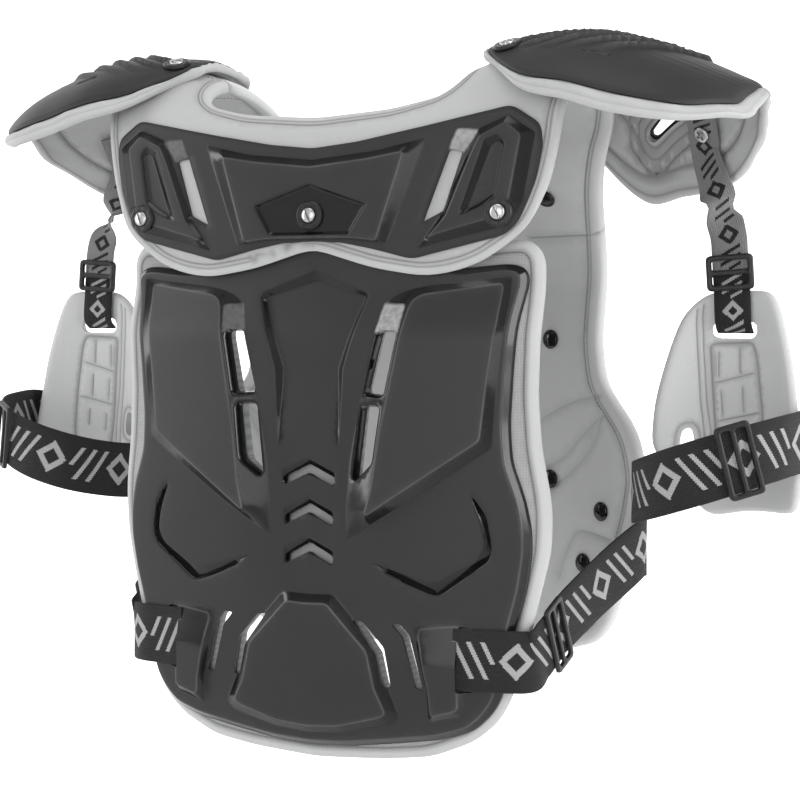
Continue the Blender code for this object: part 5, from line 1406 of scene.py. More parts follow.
def chest_place(at, away):
    """A point on the chest padding: away is measured from its inner face along the face's normal."""
    x, run = at.T
    over = arch(x, 0.5 * math.pi * (1.0 + np.minimum(run, ARCH_RUN) / ARCH_RUN), SHOULDER_THICKNESS - away)
    across = chest_face(x + 1.0, run) - chest_face(x - 1.0, run)
    down = chest_face(x, run + 1.0) - chest_face(x, run - 1.0)
    flat = chest_face(x, run) + unit(np.cross(across, down)) * np.reshape(away, (-1, 1))
    return np.where((run <= ARCH_RUN)[:, None], over, flat)


def chest_outline(lowest, inset=0.0):
    """The outline of the chest padding, drawn in by an inset and cut off straight at its lowest run."""
    right = np.vstack([chest_points(CHEST_OUTLINE)[::-1], chest_points(CHEST_SIDE)])
    loop = softened(symmetric(right), 10.0)
    loop = grown(loop, -inset) if inset else loop
    return np.stack([loop[:, 0], np.maximum(loop[:, 1], lowest)], 1)


CHEST_LOOP = chest_outline(GAP / 2)
CHEST_FREE_EDGE = CHEST_LOOP - (CHEST_LOOP[:, 1:] < 1.0) * np.array((0.0, 40.0))
CHEST_SEAM_LINES = [chest_points(line) for line in CHEST_SEAMS]
CHEST_CREASE_LINES = [smooth_curve(chest_points(line), 6) for line in CHEST_CREASES]


def chest_thickness(run):
    return lerp(SHOULDER_THICKNESS, CHEST_THICKNESS, smooth_step(run / ARCH_RUN - 1.0))


def chest_marks(at):
    distance = line_distance(at, CHEST_FREE_EDGE, True, LINING_REACH)
    binding, seam_and_shade = seam_marks(distance, CHEST_BINDING, (CHEST_BINDING, CHEST_SEAM))
    beside = folded(at)
    for line in CHEST_SEAM_LINES:
        seam_and_shade = np.maximum(seam_and_shade, groove(beside, line, SEAM_WIDTH))
    # Creases darken the cloth too, through the seam mark: painted shade
    for line in CHEST_CREASE_LINES:
        seam_and_shade = np.maximum(seam_and_shade, 0.45 * groove(beside, line, 0.6 * CREASE_WIDTH))
    return distance, binding, seam_and_shade


def chest_depth(at):
    """Depth of the lining: rolled edge, sewn seams, and wide soft creases from the moulding."""
    distance, _, seam_and_shade = chest_marks(at)
    beside = folded(at)
    crease = sum(groove(beside, line, CREASE_WIDTH) for line in CHEST_CREASE_LINES)
    return roll(distance, chest_thickness(at[:, 1]), CHEST_ROLL) + SEAM_DEPTH * seam_and_shade + CREASE_DEPTH * crease


def build_chest_lining(cloth, thread, sizes):
    guides = [grown(CHEST_LOOP, -inset) for inset in (1.2, 3.6, CHEST_BINDING, CHEST_SEAM)]
    chains = [line[2:-2] for line in guides] + both_sides([*CHEST_SEAM_LINES, *CHEST_CREASE_LINES])
    net = at, _ = flat_net(CHEST_LOOP, CHEST_CELL, (), (), chains, step=3.0)
    distance, binding, seam_and_shade = chest_marks(at)
    thick = chest_thickness(at[:, 1])
    front = chest_place(at, thick - roll(distance, thick, CHEST_ROLL))
    add_pad("chest_lining", net, chest_place(at, chest_depth(at)), front, cloth, "front_pad", "front_pad",
            binding, seam_and_shade)
    line = grown(CHEST_LOOP, -CHEST_SEAM)
    line = line[line[:, 1] > 16.0]
    row = line_on(chest_place, np.roll(line, -int(np.argmax(np.abs(np.diff(line[:, 0]))) + 1), 0),
                  chest_depth, False)
    sew("chest_stitches", thread, row, sizes)


SHIELD_CUT = chest_outline(chest_run(CHEST_PLATE_TOP_SHARE), CHEST_PLATE_INSET)
SHIELD_LOOP = SHIELD_CUT[np.linalg.norm(SHIELD_CUT - np.roll(SHIELD_CUT, 1, 0), axis=1) > 0.5]
SHIELD_PANELS = [softened(chest_points(panel), 4.0) for panel in SHIELD_SIDE_PANELS]
SHIELD_MIDDLE_LOOP = softened(symmetric(chest_points(SHIELD_MIDDLE)), 4.0)
SHIELD_SLOT_LOOPS = [softened(chest_points(slot), 3.0) for slot in SHIELD_SLOTS]


def shield_relief(at):
    """Raised middle and side panels and sunk slots, each a ramp from its loop to a narrower one."""
    beside = folded(at)
    edge = 1.0 - line_distance(at, SHIELD_LOOP, True, RIM_WIDTH) / RIM_WIDTH
    shares = [ramp(beside, loop, grown(loop, -SHIELD_PANEL_SLOPE)) for loop in SHIELD_PANELS]
    shares.append(ramp(at, SHIELD_MIDDLE_LOOP, grown(SHIELD_MIDDLE_LOOP, -SHIELD_MIDDLE_SLOPE)))
    sunk = [ramp(beside, loop, grown(loop, -SHIELD_SLOT_SLOPE)) for loop in SHIELD_SLOT_LOOPS]
    height = SHIELD_RISE * sum(shares) - SHIELD_SINK * sum(sunk) - 1.5 * edge ** 2
    # Glossy slopes, painted darker as shade
    gloss_and_shade = np.maximum.reduce([slope_of(share) for share in [*shares, *sunk]])
    # Painted highlight lines along the side panels' raised edges
    edge_highlight = painted_edge_highlight(beside, [grown(loop, -SHIELD_PANEL_SLOPE) for loop in SHIELD_PANELS])
    return np.stack([height, gloss_and_shade, np.zeros(len(at)), edge_highlight], 1)


def build_chest_shield(plastic):
    loops = [SHIELD_MIDDLE_LOOP, grown(SHIELD_MIDDLE_LOOP, -SHIELD_MIDDLE_SLOPE)]
    for inset, row in ((SHIELD_PANEL_SLOPE, SHIELD_PANELS), (SHIELD_SLOT_SLOPE, SHIELD_SLOT_LOOPS)):
        for loop in row:
            loops += both_sides([loop, grown(loop, -inset)])
    net = at, _ = flat_net(SHIELD_LOOP, CHEST_CELL, loops, step=3.0)
    marks = rounded(shield_relief, at)
    base = chest_thickness(at[:, 1]) + GAP
    inner = base + np.maximum(marks[:, 0] - 1.0, 0.0) * 0.5
    add_sheet("chest_shield", net, chest_place(at, base + CHEST_PLATE_THICKNESS + marks[:, 0]),
              chest_place(at, inner), plastic, "front_plate", plate_finish(marks))


CAP_CREST_Z = ARCH_FOOT_Z + ARCH_HEIGHT
CAP_PAD_DEPTH = CAP_SHELL_THICKNESS + GAP
CAP_INNER_DEPTH = CAP_PAD_DEPTH + CAP_PAD_THICKNESS
CAP_RIDGE_Z = CAP_CREST_Z + CAP_SEAT_CLEARANCE + CAP_INNER_DEPTH


def cap_station(share):
    """Rear edge, ridge and front edge at a share of the length: cubic curves through the table's rows."""
    rows = np.array(CAP_STATIONS, float) - np.outer(CAP_RIDGE_FALL, (0, 0, 0, 0, 1, 0, 0))
    share = np.clip(share, 0.0, 1.0)
    index = np.clip(np.searchsorted(rows[:, 0], share, side="right") - 1, 0, len(rows) - 2)
    first, second = rows[index], rows[index + 1]
    before, after = rows[np.maximum(index - 1, 0)], rows[np.minimum(index + 2, len(rows) - 1)]
    span = (second[:, 0] - first[:, 0])[:, None]
    t = (share - first[:, 0])[:, None] / span
    start = (second - before)[:, 1:] / (second - before)[:, :1] * span
    end = (after - first)[:, 1:] / (after - first)[:, :1] * span
    return ((2 * t ** 3 - 3 * t * t + 1) * first[:, 1:] + (t ** 3 - 2 * t * t + t) * start
            + (3 * t * t - 2 * t ** 3) * second[:, 1:] + (t ** 3 - t * t) * end).T


def cap_face(share, turn):
    """The shell's outer face: in each section an ellipse's arc from the rear edge to the front edge."""
    rear_y, rear_z, ridge_y, rise, front_y, front_z = cap_station(share)
    half_arc = math.radians(CAP_ARC_DEGREES)
    ridge_z = CAP_RIDGE_Z + rise
    edge_y, edge_z = np.where(turn > 0, front_y, rear_y), np.where(turn > 0, front_z, rear_z)
    y = ridge_y + np.abs(edge_y - ridge_y) * np.sin(turn * half_arc) / math.sin(half_arc)
    z = ridge_z - (ridge_z - edge_z) * (1.0 - np.cos(turn * half_arc)) / (1.0 - math.cos(half_arc))
    return np.stack([CAP_INNER_X + share * CAP_LENGTH, y, z], 1)


def cap_normal(share, turn):
    step = 0.02
    along = cap_face(np.minimum(share + step, 1.0), turn) - cap_face(np.maximum(share - step, 0.0), turn)
    over = cap_face(share, turn + step) - cap_face(share, turn - step)
    return unit(np.cross(along, over))


def cap_place(side, at, depth):
    """A point under the cap's outer face; the first place counts along it, the second over its ridge."""
    share, turn = at[:, 0] / CAP_LENGTH, at[:, 1] / CAP_TURN_SCALE
    points = cap_face(share, turn) - cap_normal(share, turn) * np.reshape(depth, (-1, 1))
    return points * (side, 1.0, 1.0)


def cap_points(shares):
    return np.array(shares, float) * (CAP_LENGTH, CAP_TURN_SCALE)


CAP_PAD_LOOP = softened(cap_points(CAP_OUTLINE), 9.0)
CAP_SHELL_LOOP = softened(cap_points(CAP_OUTLINE) * (CAP_SHELL_SHARE, CAP_SHELL_TURN)
                          + (CAP_SHELL_INSET, 0.0), 7.0)
CAP_VENT_LOOP = softened(cap_points(CAP_VENT), 3.0)
CAP_FRAMES = [grown(CAP_VENT_LOOP, amount) for amount in CAP_FRAME_MARGINS]
CAP_LINES = [smooth_curve(cap_points(line), 5) for line in CAP_LINING_LINES]
CAP_SLIT_LOOP = softened(cap_points(CAP_SLIT), 1.5)


def cap_relief(at):
    """Overlapping lobes: a saw of the length, slanted over the ridge, that fades to both edges.

    Fine swept ribs ride on it, and the slit and the edge sink.
    """
    share, turn = at[:, 0] / CAP_LENGTH, at[:, 1] / CAP_TURN_SCALE
    swept = share - LOBE_SLANT * np.minimum(turn, 0.0) + 0.4 * LOBE_SLANT * np.maximum(turn, 0.0)
    count = (swept - LOBE_FIRST) / LOBE_PITCH
    saw = np.where((count > 0) & (count < LOBE_COUNT), count % 1.0, 0.0)
    saw = np.where(saw < 0.92, saw / 0.92, (1.0 - saw) / 0.08)
    fade = smooth_step((turn + 0.6) / 0.25) * smooth_step((0.75 - turn) / 0.3) * smooth_step(share / 0.1)
    lobes = LOBE_RISE * saw ** 1.5 * fade * smooth_step((0.95 - share) / 0.2)
    rib_wave = 0.5 + 0.5 * np.sin(2 * math.pi * (turn + 0.35 * share) / RIB_PITCH)
    ribs = RIB_RISE * rib_wave ** 3 * fade
    edge = 1.0 - line_distance(at, CAP_SHELL_LOOP, True, 5.0) / 5.0
    slit = ramp(at, CAP_SLIT_LOOP, grown(CAP_SLIT_LOOP, -1.4))
    depth = -lobes - ribs + 1.2 * edge ** 2 + 2.2 * slit
    # The lobes' ridges get a painted highlight line
    ridge = (saw > 0.85) * fade * smooth_step((0.92 - share) / 0.2)
    # The slit is glossy and painted dark as shade
    return np.stack([depth, np.maximum(slope_of(slit), slit), np.zeros(len(at)), 0.7 * ridge], 1)


def cap_pad_marks(at):
    """Columns: outer depth, inner depth, binding, and inner seam and pressed lines of the cap's foam,
    darkened in the cloth as painted shade.

    The rim outside the shell swells up to it, and the lining has pressed frames and bands.
    """
    distance = line_distance(at, CAP_PAD_LOOP, True, CAP_REACH)
    beyond = np.where(inside(at, CAP_SHELL_LOOP), 0.0, 1.0) * np.clip(
        line_distance(at, CAP_SHELL_LOOP, True, 8.0) / 3.0, 0.0, 1.0)
    turn, share = at[:, 1] / CAP_TURN_SCALE, at[:, 0] / CAP_LENGTH
    ripple = np.sin(at[:, 0] * 0.21 + 2.0 * np.sin(at[:, 1] * 0.09)) * np.sin(at[:, 1] * 0.17 + 1.0)
    swell = (CAP_RIM_SWELL + 0.35 * ripple) * smooth_step(beyond) + 0.5 * beyond * ripple
    rim = roll(distance, CAP_PAD_THICKNESS, CAP_ROLL)
    outer = CAP_PAD_DEPTH - swell + rim
    pressed = sum(groove(at, line, 1.3, True) for line in CAP_FRAMES)
    pressed = pressed + sum(groove(at, line, 1.5) for line in CAP_LINES)
    stepped = 1.6 * (inside(at, CAP_FRAMES[-1]).astype(float))
    band = groove(at, CAP_LINES[0], 9.0) * (1.0 - groove(at, CAP_LINES[0], 3.0))
    pressed = np.clip(pressed, 0.0, 1.0) * smooth_step((distance - 6.0) / 4.0)
    inner = (CAP_INNER_DEPTH - rim + 1.0 * band * smooth_step((distance - 5.0) / 8.0)
             - 1.5 * pressed - stepped + 0.25 * ripple * smooth_step((turn + share) / 0.5))
    stitched = np.exp(-((distance - CAP_RIM_SEAM) / 1.0) ** 2)
    binding = smooth_step((CAP_RIM_SEAM - distance) / 1.0)
    return np.stack([outer + 0.6 * stitched * beyond, inner - 0.6 * stitched, binding,
                     np.clip(pressed + stitched, 0.0, 1.0)], 1)


def build_cap(side_name, side, plastic, cloth):
    net = at, _ = flat_net(CAP_SHELL_LOOP, CAP_COVER_CELL, [grown(CAP_SHELL_LOOP, -5.0), CAP_SLIT_LOOP],
                           [CAP_VENT_LOOP])
    marks = rounded(cap_relief, at, 0.6)
    inner = CAP_SHELL_THICKNESS + np.minimum(marks[:, 0], 0.0) * 0.5
    add_sheet("cap_cover_" + side_name, net, cap_place(side, at, marks[:, 0]), cap_place(side, at, inner),
              plastic, "cap_shell_" + side_name, plate_finish(marks))
    guides = [grown(CAP_PAD_LOOP, -inset) for inset in (0.9, 2.6, CAP_RIM_SEAM)]
    net = at, _ = flat_net(CAP_PAD_LOOP, CAP_FOAM_CELL, [*guides, CAP_SHELL_LOOP, *CAP_FRAMES],
                           [grown(CAP_VENT_LOOP, 1.5)], CAP_LINES)
    outer, inner, binding, seam_and_shade = cap_pad_marks(at).T
    add_pad("cap_foam_" + side_name, net, cap_place(side, at, outer), cap_place(side, at, inner), cloth,
            "cap_pad", "cap_pad_" + side_name, binding, 0.3 * seam_and_shade, seam_and_shade)


def guard_place(side, at, away):
    """A point on an arm guard: a cylinder's wall, away from its inner face along the radius."""
    u, z = at.T
    radius = GUARD_RADIUS + away
    return np.stack([side * (GUARD_X + radius * np.sin(u / GUARD_RADIUS)),
                     GUARD_Y - GUARD_RADIUS + radius * np.cos(u / GUARD_RADIUS), z], 1)


GUARD_OUTER_DEPTH = GUARD_PAD_THICKNESS + GAP + GUARD_SHELL_THICKNESS


def guard_points(shares):
    return spread(shares, GUARD_HALF_WIDTH, GUARD_TOP_Z, GUARD_HEIGHT)


GUARD_LOOP = softened(guard_points(GUARD_OUTLINE), 10.0)
GUARD_SHELL_LOOP = grown(GUARD_LOOP, -GUARD_SHELL_INSET)
GUARD_SLOT_LOOP = softened(guard_points(GUARD_TOP_SLOT), 6.0)
GUARD_SIDE_LOOP = softened(np.array(GUARD_SIDE_SLOT, float), 5.0)
GUARD_LINES = [np.array(line, float) for line in GUARD_LADDER]
GUARD_RISE_LOOP = softened(np.array(GUARD_RAISED, float), 4.0)


def guard_marks(at):
    """Columns: inner depth, and seam of a guard's foam with its pressed ladder and slot borders, darkened in
    the cloth as painted shade.
    """
    distance = line_distance(at, GUARD_LOOP, True, LINING_REACH)
    pressed = sum(groove(at, line, 0.9) for line in GUARD_LINES)
    pressed = pressed + 1.2 * groove(at, GUARD_RISE_LOOP, 1.3, True)
    pressed = pressed + groove(at, grown(GUARD_SIDE_LOOP, 4.0), 1.2, True)
    pressed = np.clip(pressed, 0.0, 1.2)
    raised = 1.2 * smooth_step(ramp(at, GUARD_RISE_LOOP, grown(GUARD_RISE_LOOP, -4.0)))
    lip = 1.0 * (line_distance(at, GUARD_SLOT_LOOP, True, 6.0) < 5.0)
    inner = roll(distance, GUARD_PAD_THICKNESS, GUARD_ROLL) + 1.1 * pressed - raised + 0.5 * lip
    return np.stack([inner, np.clip(0.8 * pressed, 0.0, 1.0)], 1)


def build_guard(side_name, side, plastic, cloth):
    holes = [GUARD_SLOT_LOOP, GUARD_SIDE_LOOP]
    guides = [grown(GUARD_LOOP, -1.0), grown(GUARD_LOOP, -3.0), GUARD_RISE_LOOP, grown(GUARD_SIDE_LOOP, 4.0)]
    net = at, _ = flat_net(GUARD_LOOP, GUARD_FOAM_CELL, guides, holes, GUARD_LINES)
    inner, seam_and_shade = guard_marks(at).T
    distance = line_distance(at, GUARD_LOOP, True, LINING_REACH)
    outer = GUARD_PAD_THICKNESS - roll(distance, GUARD_PAD_THICKNESS, GUARD_OUTER_ROLL)
    plain = np.zeros(len(at))
    add_pad("guard_foam_" + side_name, net, guard_place(side, at, inner), guard_place(side, at, outer), cloth,
            "guard_pad", "guard_pad_" + side_name, plain, seam_and_shade, plain)
    rows = [grown(GUARD_SHELL_LOOP, -inset) for inset in (5.0, 16.0, 24.0)]
    net = at, _ = flat_net(GUARD_SHELL_LOOP, GUARD_COVER_CELL, rows, [grown(loop, 0.6) for loop in holes])
    edge = 1.0 - line_distance(at, GUARD_SHELL_LOOP, True, 5.0) / 5.0
    panel = ramp(at, rows[1], rows[2])
    base = GUARD_PAD_THICKNESS + GAP
    outer = base + GUARD_SHELL_THICKNESS + 1.4 * panel - 1.0 * edge ** 2
    # The panel's slopes are glossy and painted darker as shade
    add_sheet("guard_cover_" + side_name, net, guard_place(side, at, outer), guard_place(side, at, base),
              plastic, "guard_shell_" + side_name, {"gloss_and_shade": twice(slope_of(panel))})


def frame_at(origin, normal, up):
    """Origin and three axes for a small part: right, up and outward from the face that it sits on."""
    outwards = unit(np.array(normal, float))
    upward = np.array(up, float)
    upward = unit(upward - outwards * (upward @ outwards))
    return np.array(origin, float), np.cross(upward, outwards), upward, outwards


def framed(frame, at, height):
    origin, right, upward, outwards = frame
    return origin + at[:, :1] * right + at[:, 1:] * upward + np.reshape(height, (-1, 1)) * outwards


def circle(radius, count=48):
    turn = np.arange(count) * 2 * math.pi / count
    return radius * np.stack([np.cos(turn), np.sin(turn)], 1)


def small_part(name, frame, net, height, material, node, sharp=40.0, finish=None):
    """A closed part over a flat net: its top has the height, its seat is flat."""
    top, seat = framed(frame, net[0], height), framed(frame, net[0], 0.0)
    add_sheet(name, net, top, seat, material, node, finish, sharp)


def build_slider(name, node, frame, strap_width, plastic):
    """A flat slider: two windows and a middle bar, its edges rounded by the distance to the nearest."""
    half_wide, half_long = strap_width / 2 + BUCKLE_BAR, BUCKLE_LENGTH / 2
    corners = np.array([(-1, -1), (1, -1), (1, 1), (-1, 1)], float)
    outline = softened(corners * (half_wide, half_long), 4.0, steps=6)
    window_long = half_long / 2 - 0.75 * BUCKLE_BAR
    window = corners * (half_wide - BUCKLE_BAR, window_long)
    shift = np.array((0.0, window_long + BUCKLE_BAR / 2))
    windows = [softened(window - shift, 1.5), softened(window + shift, 1.5)]
    net = at, _ = flat_net(outline, 1.3, (), windows, (), 1.2, (0.45,))
    edge = np.minimum.reduce([line_distance(at, line) for line in [outline, *windows]])
    crown = np.sqrt(np.clip(1.0 - (1.0 - np.clip(edge / 1.4, 0.0, 1.0)) ** 2, 0.0, 1.0))
    lowered = 0.9 * (np.abs(at[:, 1]) < BUCKLE_BAR / 2 + 0.3) * (np.abs(at[:, 0]) < half_wide - BUCKLE_BAR)
    height = BUCKLE_THICKNESS * (0.55 + 0.45 * crown) - lowered
    frame = (frame[0] + GAP * frame[3], *frame[1:])
    small_part(name, frame, net, height, plastic, node)


def build_washer(name, node, frame, plastic):
    """A round seat with a dished middle and a ring of eight small dimples, as bell-shaped pits."""
    net = at, _ = flat_net(circle(WASHER_RADIUS), 0.9, [circle(9.3), circle(6.4)], (), (), 0.9, (0.4,))
    radius, angle = np.hypot(*at.T), np.arctan2(at[:, 1], at[:, 0])
    crown = smooth_step((WASHER_RADIUS - radius) / 1.4)
    dish = 0.5 * smooth_step((6.6 - radius) / 0.8)
    pitch = 2 * math.pi / WASHER_DIMPLES
    beside = ((angle / pitch + 0.5) % 1.0 - 0.5) * pitch * radius
    pits = np.exp(-(beside ** 2 + (radius - DIMPLE_PLACE) ** 2) / DIMPLE_SIZE ** 2)
    height = WASHER_HEIGHT * (0.45 + 0.55 * crown) - dish - 0.7 * pits
    small_part(name, frame, net, height, plastic, node)


def build_screw(name, node, frame, metal, radius, crossed=False):
    """A domed head with one slot, or two that cross; the slot is cut to a flat floor."""
    half = 0.13 * radius
    reach = 0.62 * radius if crossed else 0.94 * radius
    bars = [np.array([(-half, -reach), (half, -reach), (half, reach), (-half, reach)])]
    tilt = math.radians(SCREW_TILT)
    spin = np.array([(math.cos(tilt), math.sin(tilt)), (-math.sin(tilt), math.cos(tilt))])
    bars = [bar @ spin for bar in bars + ([bars[0][:, ::-1]] if crossed else [])]
    rims = [grown(bar, 0.25) for bar in bars]
    net = at, _ = flat_net(circle(radius, 40), 0.7, rims, (), (), 0.6, (0.25,))
    share = np.hypot(*at.T) / radius
    height = SCREW_HEIGHT * (0.35 + 0.65 * np.sqrt(np.clip(1.0 - share ** 2, 0.0, 1.0)))
    cut = np.maximum.reduce([inside(at, bar).astype(float) for bar in bars])
    height = np.where(cut > 0, 0.35 * SCREW_HEIGHT, height)
    small_part(name, frame, net, height, metal, node, 35.0)


def build_washer_and_screw(name, node, frame, plastic, metal):
    origin, right, upward, outwards = frame
    seat = origin + outwards * WASHER_CLEARANCE
    build_washer(name + "_seat", node + "_washer", (seat, right, upward, outwards), plastic)
    head = seat + outwards * (WASHER_HEIGHT - 0.4)
    build_screw(name + "_head", node + "_screw", (head, right, upward, outwards), metal, SCREW_RADIUS)


def build_yoke_fasteners(plastic, metal):
    for name, wide, down in YOKE_SCREWS:
        at = yoke_points([(wide, down)])
        x, z = at[0]
        origin = yoke_place(at, yoke_relief(at)[:, 0])[0]
        normal = (2 * YOKE_SAG * x / SAG_SPAN ** 2, -1.0, YOKE_LEAN / YOKE_HEIGHT)
        build_washer_and_screw("upper_" + name, "yoke_" + name, frame_at(origin, normal, (0.0, 0.0, 1.0)),
                               plastic, metal)


def build_cap_fasteners(plastic, metal):
    for side_name, side in SIDES:
        share, turn = np.array([CAP_WASHER_SHARE]), np.array([CAP_WASHER_TURN])
        origin, normal = cap_face(share, turn)[0], cap_normal(share, turn)[0]
        frame = frame_at(origin * (side, 1, 1), normal * (side, 1, 1), (0, 1, 0))
        build_washer_and_screw("cap_" + side_name, "cap_" + side_name, frame, plastic, metal)


def build_lining_rivets(plastic):
    """Domed rivets with a small pit, on the inner face of the chest lining."""
    for order, (wide, share, clearance) in enumerate(CHEST_RIVETS, 1):
        for side_name, side in SIDES:
            at = chest_points([(side * wide, share)])
            inner = chest_place(at, np.zeros(1))[0]
            normal = inner - chest_place(at, np.ones(1))[0]
            frame = frame_at(inner + normal * clearance, normal, (0.0, 0.0, 1.0))
            net = flat_net(circle(RIVET_RADIUS), 0.9, [circle(0.9, 12)], (), (), 0.9, (0.4,))
            radius = np.hypot(*net[0].T) / RIVET_RADIUS
            height = RIVET_HEIGHT * np.sqrt(np.clip(1.0 - radius ** 2, 0.02, 1.0)) - 0.8 * (radius < 0.1)
            name = "%s_%d" % (side_name, order)
            small_part("lining_rivet_" + name, frame, net, height, plastic,
                       "chest_rivet_" + name, finish={"gloss_and_shade": np.ones(2 * len(radius))})


def band_slider(name, node, path, index, hint, strap_width, plastic):
    """A slider on a band at one of its path points, on the side that the hint points to."""
    before, here, after = (np.array(path[index + step], float) for step in (-1, 0, 1))
    along = unit(after - before)
    side = np.array((0, 0, 1)) - along * along[2] if abs(along[2]) < 0.8 else np.array((1.0, 0, 0))
    normal = unit(np.cross(along, unit(side)))
    normal = normal * np.sign(normal @ np.array(hint, float))
    origin = here + normal * (STRAP_THICKNESS / 2 + BUCKLE_CLEARANCE)
    build_slider(name, node, frame_at(origin, normal, along), strap_width, plastic)


def add_band(name, path, across, width, cloth, nodes):
    """A band along a path; its map runs across and along it."""
    points, faces, uv = ribbon(path, across, width)
    add_piece(name, points, faces, cloth, nodes, uv)


def arm_band_path(side):
    """Over the guard's cover, round behind the arm, and back to the cover."""
    seat = GUARD_OUTER_DEPTH + GAP + STRAP_THICKNESS / 2 + ARM_BAND_CLEARANCE
    wrap = np.array([(-15.0, seat), (-32.0, seat), (-46.0, seat + 0.5), (-57.0, seat + 2.5)])
    turned = guard_place(1, np.stack([wrap[:, 0], np.zeros(4)], 1), wrap[:, 1])
    back = guard_place(1, np.stack([-wrap[::-1, 0], np.zeros(4)], 1), wrap[::-1, 1])
    rear = np.array([(GUARD_X + x, y, 0.0) for x, y in ARM_BAND_REAR])
    plan = np.vstack([turned, rear, back])
    plan[:, 2] = ARM_BAND_Z + ARM_BAND_SLOPE * (plan[:, 0] - GUARD_X)
    return plan * (side, 1.0, 1.0)


def build_arm_band(side_name, side, cloth, plastic):
    path = arm_band_path(side)
    across = np.tile((0.0, 0.0, 1.0), (len(path), 1))
    add_band("arm_band_" + side_name, path, across, ARM_BAND_WIDTH, cloth,
             ["arm_strap_" + side_name])
    band_slider("arm_slider_" + side_name, "arm_buckle_" + side_name, path, 8,
                (side * 0.6, -0.8, 0.0), ARM_BAND_WIDTH, plastic)


def waist_path(side):
    """From behind the slot of the lower plate, round the edge of the back, to the chest plate."""
    lift = -(WAIST_CLEARANCE + STRAP_THICKNESS / 2)
    seats = [SLOT_INNER * PLATE_HALF_WIDTH - 3.0, 0.5 * (SLOT_INNER + 0.9) * PLATE_HALF_WIDTH,
             0.92 * PLATE_HALF_WIDTH]
    plan = [(x, back_y(x, WAIST_STRAP_Z) + lift) for x in seats]
    plan += [(lerp(PLATE_HALF_WIDTH, CHEST_HALF_WIDTH, share), y) for share, y in WAIST_SIDE_PATH]
    plan = np.array(plan)
    share = np.clip((plan[:, 1] - plan[3, 1]) / (plan[-1, 1] - plan[3, 1]), 0.0, 1.0)
    path = np.column_stack([plan, lerp(WAIST_STRAP_Z, WAIST_STRAP_FRONT_Z, share)])
    ends = CHEST_HALF_WIDTH - np.array(WAIST_CHEST_INSETS)
    run = np.full(3, ARCH_RUN + ARCH_FOOT_Z - WAIST_STRAP_FRONT_Z)
    seat = CHEST_THICKNESS + GAP + STRAP_THICKNESS / 2 + WAIST_CHEST_CLEARANCE
    path = np.vstack([path, chest_place(np.stack([ends, run], 1), np.full(3, seat))])
    return path * (side, 1.0, 1.0)


def build_waist_band(side_name, side, cloth, plastic):
    path = waist_path(side)
    across = np.tile((0.0, 0.0, 1.0), (len(path), 1))
    add_band("waist_band_" + side_name, path, across, WAIST_STRAP_WIDTH, cloth,
             ["waist_strap_" + side_name])
    band_slider("waist_slider_" + side_name, "waist_buckle_" + side_name, path, 5,
                (side, 0.0, 0.0), WAIST_STRAP_WIDTH, plastic)


def hanger_path(side):
    """From under the shoulder cap down to the slot at the top of the arm guard."""
    seat = CAP_INNER_DEPTH + STRAP_THICKNESS / 2 + HANGER_CLEARANCE
    top = np.array([(HANGER_SHARE * CAP_LENGTH, turn * CAP_TURN_SCALE) for turn in HANGER_TURNS])
    face_y = GUARD_Y - HANGER_WIDTH ** 2 / (8 * GUARD_RADIUS) - STRAP_THICKNESS / 2 - HANGER_GUARD_CLEARANCE
    slot_z = GUARD_TOP_Z - GUARD_TOP_SLOT[0][1] * GUARD_HEIGHT
    fall = [(GUARD_X + x, face_y + forward, GUARD_TOP_Z + above) for x, forward, above in HANGER_FALL]
    fall += [(GUARD_X + 2.0, face_y, slot_z - 0.5), (GUARD_X + 2.0, GUARD_Y + 3.0, slot_z - 8.0)]
    top = cap_place(1, top, np.full(3, seat))
    return np.vstack([top, lerp(top[-1], np.array(fall[0]), 0.5), fall]) * (side, 1.0, 1.0)


def build_hanger(side_name, side, cloths, plastic, metal):
    """Grey webbing down to the slider, black webbing below it, and the cross screw at the top."""
    path = hanger_path(side)
    turns = np.array(HANGER_TURNS)
    shares = np.full(len(turns), HANGER_SHARE)
    over = (cap_face(shares + 0.03, turns) - cap_face(shares - 0.03, turns)) * (1.0, side, side)
    across = np.vstack([over, np.tile((1.0, 0.0, 0.0), (len(path) - len(turns), 1))])
    middle = len(turns) + 3
    upper, lower = slice(0, middle + 1), slice(middle, None)
    add_band("hanging_strap_upper_" + side_name, path[upper], across[upper], HANGER_WIDTH, cloths[0],
             ["hanger_strap_" + side_name])
    add_band("hanging_strap_lower_" + side_name, path[lower], across[lower], HANGER_WIDTH, cloths[1],
             [])
    band_slider("hanging_slider_" + side_name, "hanger_buckle_" + side_name, path, middle,
                (0, -1, 0), HANGER_WIDTH, plastic)
    share, turn = np.array([HANGER_SHARE]), np.array([HANGER_TURNS[1]])
    normal = cap_normal(share, turn)[0] * (side, 1, 1)
    depth = CAP_INNER_DEPTH + STRAP_THICKNESS + HANGER_CLEARANCE + HANGER_SCREW_CLEARANCE
    frame = frame_at(cap_face(share, turn)[0] * (side, 1, 1) - normal * depth, -normal, (0, 0, 1))
    build_screw("hanging_screw_" + side_name, "hanger_screw_" + side_name, frame, metal,
                HANGER_SCREW_RADIUS, True)


